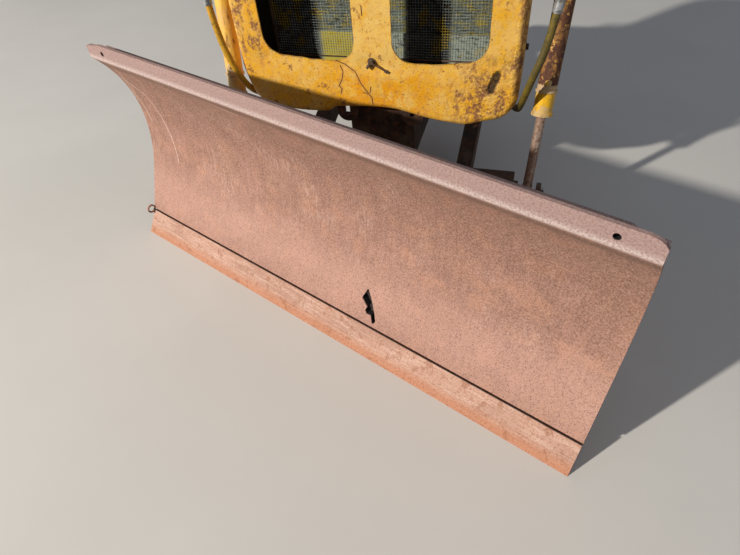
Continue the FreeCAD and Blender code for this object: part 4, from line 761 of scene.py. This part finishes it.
def grow_bead():
    """Weld bead along a line: a round string whose ripples are the welder's steps."""
    tree, given = new_tree(
        "weld_bead", Geometry="Geometry", Size="Float", Ripple="Float", Material="Material",
    )
    path = add(tree, "GeometryNodeMeshToCurve", {"Mesh": given["Geometry"]})
    fine = {"Curve": path, "Length": given["Ripple"] / 3.0}
    fine = add(tree, "GeometryNodeResampleCurve", fine, mode="LENGTH")
    run = Amount(tree, add(tree, "GeometryNodeSplineParameter").outputs["Length"])
    ripple = (run / given["Ripple"] * (2 * math.pi)).joined("SINE") * 0.14
    uneven = Amount(tree, add(tree, "ShaderNodeTexNoise", {"Scale": 70.0, "Detail": 1.0}))
    profile = add(tree, "GeometryNodeCurvePrimitiveCircle", {"Resolution": 8, "Radius": 1.0})
    bead = {
        "Curve": fine, "Profile Curve": profile, "Scale": (uneven + ripple + 0.5) * given["Size"],
        "Fill Caps": True,
    }
    return close_tree(tree, add(tree, "GeometryNodeCurveToMesh", bead), given["Material"])


def grow_bolts():
    """A hexagon bolt with its washer on every point, all heads turned one way."""
    tree, given = new_tree(
        "hexagon_bolts", Geometry="Geometry", Thread="Float", Turn="Vector", Material="Material",
    )
    thread = given["Thread"]
    bolt = add(tree, "GeometryNodeJoinGeometry")
    for corners, wide, low, high in ((32, 1.15, 0.0, 0.2), (6, 0.95, 0.2, 0.85)):
        sizes = {"Vertices": corners, "Radius": thread * wide, "Depth": thread * (high - low)}
        disk = add(tree, "GeometryNodeMeshCylinder", sizes)
        middle = add(tree, "ShaderNodeCombineXYZ", {"Z": thread * ((low + high) / 2)})
        moved = add(tree, "GeometryNodeTransform", {"Geometry": disk, "Translation": middle})
        tree.links.new(moved.outputs["Geometry"], bolt.inputs[0])
    turned = add(tree, "FunctionNodeEulerToRotation", {"Euler": given["Turn"]})
    points = add(tree, "GeometryNodeMeshToPoints", {"Mesh": given["Geometry"]})
    bolts = {"Points": points, "Instance": bolt, "Rotation": turned}
    bolts = add(tree, "GeometryNodeInstanceOnPoints", bolts)
    return close_tree(tree, bolts, given["Material"])


def line_mesh(runs):
    """Mesh of open lines, one through each run of points."""
    mesh = bpy.data.meshes.new("lines")
    points = [point for run in runs for point in run]
    edges = []
    start = 0
    for run in runs:
        edges += [(at, at + 1) for at in range(start, start + len(run) - 1)]
        start += len(run)
    mesh.from_pydata(points, edges, [])
    return mesh


def merged(name, meshes):
    """One mesh of several."""
    shape = bmesh.new()
    for mesh in meshes:
        shape.from_mesh(mesh)
    mesh = bpy.data.meshes.new(name)
    shape.to_mesh(mesh)
    shape.free()
    return mesh


def along_side(points, side, face):
    """Points given out from a face on the left, forwards and up, or their mirror images."""
    return [Vector((side * (face + out), -ahead, up)) for out, ahead, up in points]


def round_wire(name, points, radius, around, along):
    """Curve of round wire through points, its bends smooth, with around and along as its steps."""
    curve = bpy.data.curves.new(name, "CURVE")
    curve.dimensions = "3D"
    curve.bevel_depth = radius
    curve.bevel_resolution = around
    curve.resolution_u = along
    curve.use_fill_caps = True
    spline = curve.splines.new("NURBS")
    spline.points.add(len(points) - 1)
    for point, place in zip(spline.points, points):
        point.co = (*place, 1)
    spline.order_u = 3
    spline.use_endpoint_u = True
    return curve


def bent(name, points, thickness):
    """Mesh of round wire through points."""
    return plain_mesh(placed(name, round_wire(name, points, thickness / 2, 2, 6)))


def hang_hoses():
    for side, name in SIDES:
        route = along_side(HOSE_ROUTE, side, GUARD_SIDE) + along_side(HOSE_END, side, RAIL_SIDE)
        curve = round_wire(f"hose_line_{name}", route, HOSE_RADIUS, 5, 16)
        curve.materials.append(HOSE_RUBBER)
        hose = placed(f"rubber_hose_{name}", curve)
        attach(hose, "root")
        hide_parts(f"hose_{name}")


def frame_plate(low, high, wall):
    """Flat rectangular frame between two corners, wall wide."""
    shape = bmesh.new()
    rings = []
    for inset in (0, wall):
        for depth in (low.y, high.y):
            corners = [(low.x + inset, low.z + inset), (high.x - inset, low.z + inset)]
            corners += [(high.x - inset, high.z - inset), (low.x + inset, high.z - inset)]
            rings.append([shape.verts.new((x, depth, z)) for x, z in corners])
    outer_front, outer_back, inner_front, inner_back = rings
    for first, second in (
        (outer_front, outer_back), (inner_front, inner_back),
        (outer_front, inner_front), (outer_back, inner_back),
    ):
        for at in range(4):
            after = (at + 1) % 4
            shape.faces.new((first[at], first[after], second[after], second[at]))
    return as_mesh("frame_plate", shape)


def weave_mesh():
    """The guard's wire cloth, in its flat frames."""
    cloth = grow_wire_cloth()
    for side, name in SIDES:
        low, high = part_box(f"mesh_{name}")
        inner, outer = sorted((side * MESH_MIDDLE, side * MESH_SIDE))
        low, high = Vector((inner, low.y, MESH_FOOT)), Vector((outer, high.y, high.z))
        width, height = high.x - low.x - MESH_FRAME, high.z - low.z - MESH_FRAME
        across, up = round(width / MESH_PITCH) + 1, round(height / MESH_PITCH) + 1
        wires = grown(
            cloth, Width=width, Height=height, Across=across, Up=up + (up + 1) % 2, Wire=MESH_WIRE_SIZE,
            Material=MESH_WIRE,
        )
        wires.transform(Matrix.Translation((low + high) / 2))
        piece = shown(f"wire_cloth_{name}", wires, "root", MESH_WIRE, 50)
        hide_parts(f"mesh_{name}")
        rim = frame_plate(low, high, MESH_FRAME)
        shown(f"mesh_frame_{name}", rim, "root", OILY_STEEL, 50)


def fit_fins():
    """The radiator's flat tubes and fins, ahead of its solid core."""
    low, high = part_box("radiator")
    front = low.y + CORE_INSET
    half = high.x - CHANNEL_WIDTH
    base, top = RAIL_TOP + TANK_HEIGHT, high.z - TANK_HEIGHT
    row = grow_row()
    fins = grown(
        row, Count=round((top - base) / FIN_PITCH), Start=(0, front - FIN_DEPTH / 2, base + FIN_PITCH / 2),
        Step=(0, 0, FIN_PITCH), Bar=(2 * half, FIN_DEPTH, FIN_WALL), Material=CORE_FINS,
    )
    tubes = grown(
        row, Count=round(2 * half / TUBE_PITCH),
        Start=(-half + TUBE_PITCH / 2, front - FIN_DEPTH / 3, (base + top) / 2),
        Step=(TUBE_PITCH, 0, 0), Bar=(TUBE_WALL, FIN_DEPTH / 1.5, top - base), Material=CORE_FINS,
    )
    mesh = merged("radiator_fins", [fins, tubes])
    shown("radiator_fins", mesh, "root", CORE_FINS, 0)


def hang_baffle():
    """Thin sheet that closes the gap below the radiator, between the guard's sides."""
    low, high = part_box("radiator")
    top, foot = RAIL_TOP + 4 * MM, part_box("front_cross_member")[0].z + 20 * MM
    shape = bmesh.new()
    made = bmesh.ops.create_cube(shape, size=1)["verts"]
    bmesh.ops.scale(shape, vec=(2 * high.x, BAFFLE_WALL, top - foot), verts=made)
    bmesh.ops.translate(shape, vec=(0, low.y - BAFFLE_WALL, (top + foot) / 2), verts=made)
    mesh = as_mesh("radiator_baffle", shape)
    shown("radiator_baffle", mesh, "root", CORE_FINS, 0)


def smooth_step(value, low, high):
    share = min(1.0, max(0.0, (value - low) / (high - low)))
    return share * share * (3 - 2 * share)


def solid_copy(node):
    """Editable copy of a solid, its loose triangles joined."""
    shape = bmesh.new()
    shape.from_mesh(NODES[node].data)
    bmesh.ops.remove_doubles(shape, verts=shape.verts, dist=0.02 * MM)
    return shape


def waves(x, row, z, size):
    """Uneven pattern from -1 to 1 whose waves are size metres long; each row has its own."""
    return noise.noise(Vector((x, row, z)) / size)


def guard_dent(point):
    """How far the guard's sheet is pushed back, and up, at a point of its face."""
    x, _, z = point
    from_corner, from_hollow, from_latch = (math.dist((x, z), place) for place in GUARD_KNOCKS)
    back = 2.0 * MM * (1 + waves(x, 0, z, 90 * MM))
    back += smooth_step(from_corner, 0.13, 0.05) * 3.5 * MM * (1 + waves(x, 9, z, 26 * MM))
    back += smooth_step(from_hollow, 0.017, 0.004) * 8 * MM
    back += smooth_step(from_latch, 0.05, 0.01) * 2 * MM
    back += smooth_step(abs(z - SILL_HEIGHT), 0.045, 0.0) * 2.5 * MM * (1 + waves(x, 4, 0, 45 * MM))
    right = 25 * MM * (1 - (x / 0.40) ** 2) * smooth_step(-x, 0.155, 0.20) * smooth_step(-x, 0.41, 0.38)
    left = 24 * MM * smooth_step(x, 0.02, 0.24) * smooth_step(x, 0.42, 0.32)
    drop = (right + left) * smooth_step(z, 0.01, -0.05)
    sill = smooth_step(z, 0.03, 0.11) * smooth_step(z, 0.24, 0.15)
    rise = 11 * MM * smooth_step(abs(x), 0.19, 0.36) - 5 * MM + 3 * MM * waves(x, 2, 0, 38 * MM)
    return back, rise * sill - drop


def dent_guard():
    """The pressed guard as years of work have left it: wavy sills, lumps, a dent, and one side spread."""
    shape = solid_copy("radiator_guard")
    bmesh.ops.dissolve_limit(shape, angle_limit=math.radians(0.5), verts=shape.verts, edges=shape.edges)
    step = 11 * MM
    for axis, low, high in ((0, GUARD_LOW.x, GUARD_HIGH.x), (2, GUARD_LOW.z, DENTS_TOP)):
        normal = Vector((0, 0, 0))
        normal[axis] = 1
        for cut in range(1, int((high - low) / step)):
            at = Vector((0, 0, 0))
            at[axis] = low + cut * step
            parts = [*shape.verts, *shape.edges, *shape.faces]
            bmesh.ops.bisect_plane(shape, geom=parts, dist=1e-6, plane_co=at, plane_no=normal)
    for vert in shape.verts:
        spread = smooth_step(-vert.co.x, 0.24, 0.40) * smooth_step(vert.co.y, -0.90, -0.98)
        spread *= smooth_step(vert.co.z, -0.02, 0.08) * smooth_step(vert.co.z, 0.44, 0.32)
        vert.co.x -= 15 * MM * spread
        share = smooth_step(vert.co.y, GUARD_FACE + 0.030, GUARD_FACE + 0.008)
        if share:
            back, rise = guard_dent(vert.co)
            vert.co.y += back * share
            vert.co.z += rise * share
    bmesh.ops.triangulate(shape, faces=[face for face in shape.faces if len(face.verts) > 4])
    piece = shown("dented_guard", as_mesh("dented_guard", shape), "root", GUARD_ENAMEL, 40)
    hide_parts("radiator_guard")


# The rounded corner of the lip strip and of the angle iron behind it. Each cut goes through a point, given
# in from the blade's end, back from the lip's face and down from its top in mm, and faces along the blade,
# back and up.
LIP_CORNERS = [
    ("lip_strip", "rounded_lip", [
        ((36, 0, 0), (0.155, 0, 1)), ((20, 0, 2.5), (0.45, 0, 1)), ((9, 0, 7.5), (1.05, 0, 1)),
    ]),
    ("lip_stiffener", "trimmed_stiffener", [
        ((70, 0, 14), (0.2, 0, 1)), ((30, 0, 22), (0.5, 0, 1)), ((6, 10, 0), (0.85, 1, 0)),
    ]),
]


def round_lip():
    """The lip strip and the iron behind it, with the corner rounded that the photograph shows rounded."""
    for node, name, cuts in LIP_CORNERS:
        shape = solid_copy(node)
        for (inward, back, down), facing_out in cuts:
            place = Vector((BLADE_HALF - inward * MM, LIP_FACE + back * MM, LIP_TOP - down * MM))
            parts = [*shape.verts, *shape.edges, *shape.faces]
            bmesh.ops.bisect_plane(
                shape, geom=parts, dist=1e-6, plane_co=BLADE @ place,
                plane_no=BLADE.to_3x3() @ Vector(facing_out), clear_outer=True,
            )
            bmesh.ops.holes_fill(shape, edges=shape.edges, sides=0)
        piece = shown(name, as_mesh(name, shape), "blade", BLADE_PLATE, 30)
        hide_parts(node)


def lathed(shape, profile, place, sides=16):
    """Adds a turned form to a bmesh; the profile runs (radius, height) in mm from axis to axis."""
    rings = []
    for radius, height in profile:
        ring = []
        for turn in range(sides) if radius else (0,):
            angle = 2 * math.pi * turn / sides
            point = Vector((radius * math.cos(angle), radius * math.sin(angle), height)) * MM
            ring.append(shape.verts.new(place @ point))
        rings.append(ring)
    for first, second in zip(rings, rings[1:]):
        for turn in range(sides):
            after = (turn + 1) % sides
            corners = [first[turn % len(first)], first[after % len(first)]]
            corners += [second[after % len(second)], second[turn % len(second)]]
            shape.faces.new(list(dict.fromkeys(corners)))


def facing(place, out):
    """Matrix that stands a form made along +Z on a point, turned outwards."""
    return Matrix.Translation(place) @ Vector(out).to_track_quat("Z", "Y").to_matrix().to_4x4()


def hang_latch():
    """Bolt on the guard's face with a loose latch pin: a rod with a flat paddle, and a short stub."""
    face = GUARD_FACE + 3 * MM
    head = Vector((-0.008, face, 0.109))
    on_face = facing(head, FORWARD)
    shape = bmesh.new()
    lathed(shape, [(0, 0), (14, 0), (14, 2), (0, 2)], on_face, 24)
    lathed(shape, [(0, 2), (10, 2), (10, 10), (8, 11.5), (0, 12)], on_face, 6)
    stub = facing(head + Vector((-6, -7, -8)) * MM, (-0.6, -0.1, -0.8))
    lathed(shape, [(0, 0), (5, 0), (6, 6), (4.5, 16), (0, 17)], stub, 12)
    tip = Vector((0.046, face - 6 * MM, 0.078))
    paddle = Matrix.Translation(tip) @ Matrix.Rotation(math.radians(32), 4, "Y")
    made = bmesh.ops.create_cube(shape, size=1)["verts"]
    bmesh.ops.scale(shape, vec=(13 * MM, 4 * MM, 10 * MM), verts=made)
    bmesh.ops.transform(shape, matrix=paddle, verts=made)
    route = [head + Vector(step) * MM for step in ((2, -12, -1), (12, -13, -5), (30, -9, -17))]
    rod = bent("latch_rod", [*route, tip], 5 * MM)
    mesh = merged("latch_pin", [as_mesh("latch_bolt", shape), rod])
    shown("latch_pin", mesh, "root", OILY_STEEL)


def end_fittings():
    """Crimp rings at both ends of each hose, and a union nut at its upper end."""
    for side, name in SIDES:
        start = along_side(HOSE_ROUTE[:2], side, GUARD_SIDE)
        end = along_side(HOSE_END, side, RAIL_SIDE)
        shape = bmesh.new()
        for place, ahead in ((start[0], start[0] - start[1]), (end[1], end[1] - end[0])):
            for low in (4, 13, 22):
                ring = [(14, low), (16, low + 1), (16, low + 4), (14, low + 5)]
                lathed(shape, [(0, low), *ring, (0, low + 5)], facing(place, ahead), 24)
        nut = facing(start[0], start[0] - start[1]) @ Matrix.Translation((0, 0, FERRULE_LENGTH - 14 * MM))
        lathed(shape, [(0, 0), (17, 0), (18, 1), (18, 17), (17, 18), (0, 18)], nut, 6)
        mesh = as_mesh(f"hose_ends_{name}", shape)
        shown(f"hose_ends_{name}", mesh, "root", ZINC_PLATE, 30)


def port_plugs():
    """Plugged oil port near the lower end of each barrel, in its raised boss."""
    for side, name in SIDES:
        top, down = (Vector((side * place.x, place.y, place.z)) for place in (BARREL_TOP, BARREL_DOWN))
        out = (FORWARD - down * FORWARD.dot(down)).normalized()
        port = facing(top + down * (GLAND_START - 34 * MM) + out * (BARREL_RADIUS - 1.5 * MM), out)
        shape = bmesh.new()
        lathed(shape, [(0, 0), (11, 0), (10, 4), (8, 5), (0, 5)], port, 24)
        lathed(shape, [(0, 5), (6.5, 5), (6.5, 9), (0, 9.5)], port, 6)
        mesh = as_mesh(f"port_plug_{name}", shape)
        shown(f"port_plug_{name}", mesh, f"barrel_{name}", GLAND_ENAMEL, 30)


def press_nipples():
    """Grease nipple at the end of each pin."""
    for body, pins in (
        ("root", (("cylinder_bracket_left", BARREL_TOP), ("trunnion_left", ARM_PIN))),
        ("push_frame", (("rod_lug_left", ROD_PIN),)),
    ):
        shape = bmesh.new()
        for node, pin in pins:
            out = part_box(node)[1].x
            for side, _ in SIDES:
                lathed(shape, NIPPLE, facing((side * out, pin.y, pin.z), (side, 0, 0)), 12)
        if body == "push_frame":
            lathed(shape, NIPPLE, facing((0, KING_PIN.y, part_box("king_pin")[1].z), (0, 0, 1)), 12)
        shown(f"{body}_grease_nipples", as_mesh("grease_nipples", shape), body, ZINC_PLATE)


def fit_cotters():
    """Split pin through the end of each rod pin."""
    wires = []
    for side, _ in SIDES:
        at = Vector((side * (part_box("rod_lug_left")[1].x - 5 * MM), ROD_PIN.y, ROD_PIN.z))
        for lean in (-1, 1):
            route = [(0, 0, 24), (0, lean * 5, 28), (0, lean * 6, 22), (0, lean, 17), (0, lean, -17)]
            route.append((side * 3, lean * 9, -27))
            wires.append(bent("cotter", [at + Vector(step) * MM for step in route], 3 * MM))
    shown("cotter_pins", merged("cotter_pins", wires), "push_frame", ZINC_PLATE)


def drive_bolts():
    """Bolts of the brackets, the radiator's channels, the trunnion hangers and the belly pan."""
    tree = grow_bolts()
    low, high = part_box("cylinder_bracket_left")
    middle = sum(corner.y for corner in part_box("radiator")) / 2
    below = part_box("belly_pan")[1].z - 8 * MM
    outward = [(GUARD_SIDE + 10 * MM, y, low.z + rise) for y in (low.y + BOLT_INSET, high.y - BOLT_INSET)
               for rise in (BOLT_INSET, BRACKET_RISE)]
    outward += [(GUARD_SIDE, middle, z) for z in CHANNEL_BOLTS]
    outward += [(RAIL_SIDE + 20 * MM, y, z) for y, z in HANGER_BOLTS]
    downward = [(PAN_BOLT_OUT, y, below) for y in PAN_BOLTS]
    meshes = []
    for side, _ in SIDES:
        sideways, over = (0, side * math.radians(90), 0), (math.radians(180), 0, 0)
        for places, turn in ((outward, sideways), (downward, over)):
            points = line_mesh([[(side * x, y, z)] for x, y, z in places])
            meshes.append(grown(tree, points, Thread=THREAD, Turn=turn, Material=OILY_STEEL))
    shown("frame_bolts", merged("frame_bolts", meshes), "root", OILY_STEEL, 30)


def plate_back(height):
    """How far the mouldboard's back lies behind the cutting edge, at a height above ground."""
    up, behind = (math.sin(TOE_LEAN), math.cos(TOE_LEAN)), (math.cos(TOE_LEAN), -math.sin(TOE_LEAN))
    end = Vector((TOE_BACK, TOE_UP)) + TOE_LENGTH * Vector(up)
    centre = end - LOW_RADIUS * Vector(behind)
    if height < end.y + PLATE_WALL * behind[1]:
        return TOE_BACK + PLATE_WALL / behind[0] + (height - TOE_UP) * math.tan(TOE_LEAN)
    if height < centre.y:
        return centre.x + math.sqrt((LOW_RADIUS + PLATE_WALL) ** 2 - (centre.y - height) ** 2)
    behind_curve = math.sqrt((HIGH_RADIUS + PLATE_WALL) ** 2 - (height - centre.y) ** 2)
    return centre.x + LOW_RADIUS - HIGH_RADIUS + behind_curve


def run_welds():
    """Fillet welds of the blade's back, the push frame and the main frame, one piece for each."""
    blade = []
    heights = [0.185 + 0.031 * step for step in range(17)]
    for rib in RIBS:
        for side in (-1, 1):
            for x in (side * rib - RIB_HALF, side * rib + RIB_HALF):
                blade.append([(x, plate_back(z) + MM, z) for z in heights])
                for off, z in zip((0, 3 * MM), BACK_BAR):
                    blade.append([(x, RIB_BACK + off, z), (x, RIB_BACK - 30 * MM, z)])
    for z, half, off in EAR_WELDS:
        blade.append([(x, plate_back(z) + off + MM, z) for x in (-half, 0, half)])
    blade = [[BLADE @ Vector(point) for point in run] for run in blade]
    push_frame, main_frame = [], []
    for side in (-1, 1):
        for runs, kept in ((PUSH_FRAME_WELDS, push_frame), (MAIN_FRAME_WELDS, main_frame)):
            kept += [[(side * x, y, z) for x, y, z in run] for run in runs]
        lug = side * TOW_LUG.x
        main_frame.append([(x, TOW_LUG.y, TOW_LUG.z) for x in (lug - TOW_WELD_HALF, lug + TOW_WELD_HALF)])
    tree = grow_bead()
    for body, runs, material, slot in (
        ("blade", blade, BLADE_PLATE, "rusted_plate"),
        ("push_frame", push_frame, OILY_STEEL, "dark_steel"),
        ("root", main_frame, FRAME_ENAMEL, "yellow_paint"),
    ):
        beads = grown(tree, line_mesh(runs), Size=3.6 * MM, Ripple=5 * MM, Material=material)
        shown(f"{body}_welds", beads, body, material, 60)


def sun_and_sky():
    """Studio light: one distant warm key from the picture's left front, a weak fill and a pale surround."""
    world = bpy.data.worlds.new("pale_surround")
    world.use_nodes = True
    background = world.node_tree.nodes["Background"]
    background.inputs["Color"].default_value = (0.80, 0.86, 1.0, 1)
    background.inputs["Strength"].default_value = 0.25
    bpy.context.scene.world = world
    aim = Vector((0, -1.04, 0))
    for name, place, size, power in (
        ("key", (-8.20, -9.30, 5.80), 0.4, 2050),
        ("fill", (2.6, -3.6, 2.8), 2.5, 5),
    ):
        light = bpy.data.lights.new(name, "AREA")
        light.shape = "DISK"
        light.size = size
        light.energy = power
        light.color = (1.0, 0.95, 0.87)
        lamp = placed(name, light)
        lamp.location = place
        lamp.rotation_euler = (aim - Vector(place)).to_track_quat("-Z", "Y").to_euler()


def place_camera():
    data = bpy.data.cameras.new("photo_view")
    data.lens = LENS
    data.sensor_width = SENSOR
    camera = placed("photo_view", data)
    left, down, roll = (math.radians(turn) for turn in (EYE_LEFT, EYE_DOWN, EYE_ROLL))
    ahead = Vector((-math.sin(left) * math.cos(down), math.cos(left) * math.cos(down), -math.sin(down)))
    right = Vector((math.cos(left), math.sin(left), 0))
    up = right.cross(ahead)
    across = right * math.cos(roll) + up * math.sin(roll)
    upright = up * math.cos(roll) - right * math.sin(roll)
    turn = Matrix((across, upright, -ahead)).transposed().to_4x4()
    camera.matrix_world = Matrix.Translation(EYE) @ turn
    bpy.context.scene.camera = camera


def lay_floor():
    reach = 12
    corners = [(x * reach, y * reach, GROUND) for x, y in ((-1, -1), (1, -1), (1, 1), (-1, 1))]
    mesh = bpy.data.meshes.new("floor")
    mesh.from_pydata(corners, [], [(0, 1, 2, 3)])
    mesh.materials.append(FLOOR_FINISH)
    placed("floor", mesh)


finish_solids()
hang_hoses()
weave_mesh()
fit_fins()
hang_baffle()
dent_guard()
round_lip()
hang_latch()
end_fittings()
port_plugs()
press_nipples()
fit_cotters()
drive_bolts()
run_welds()
sun_and_sky()
place_camera()
lay_floor()
bpy.context.scene.view_settings.view_transform = "Standard"
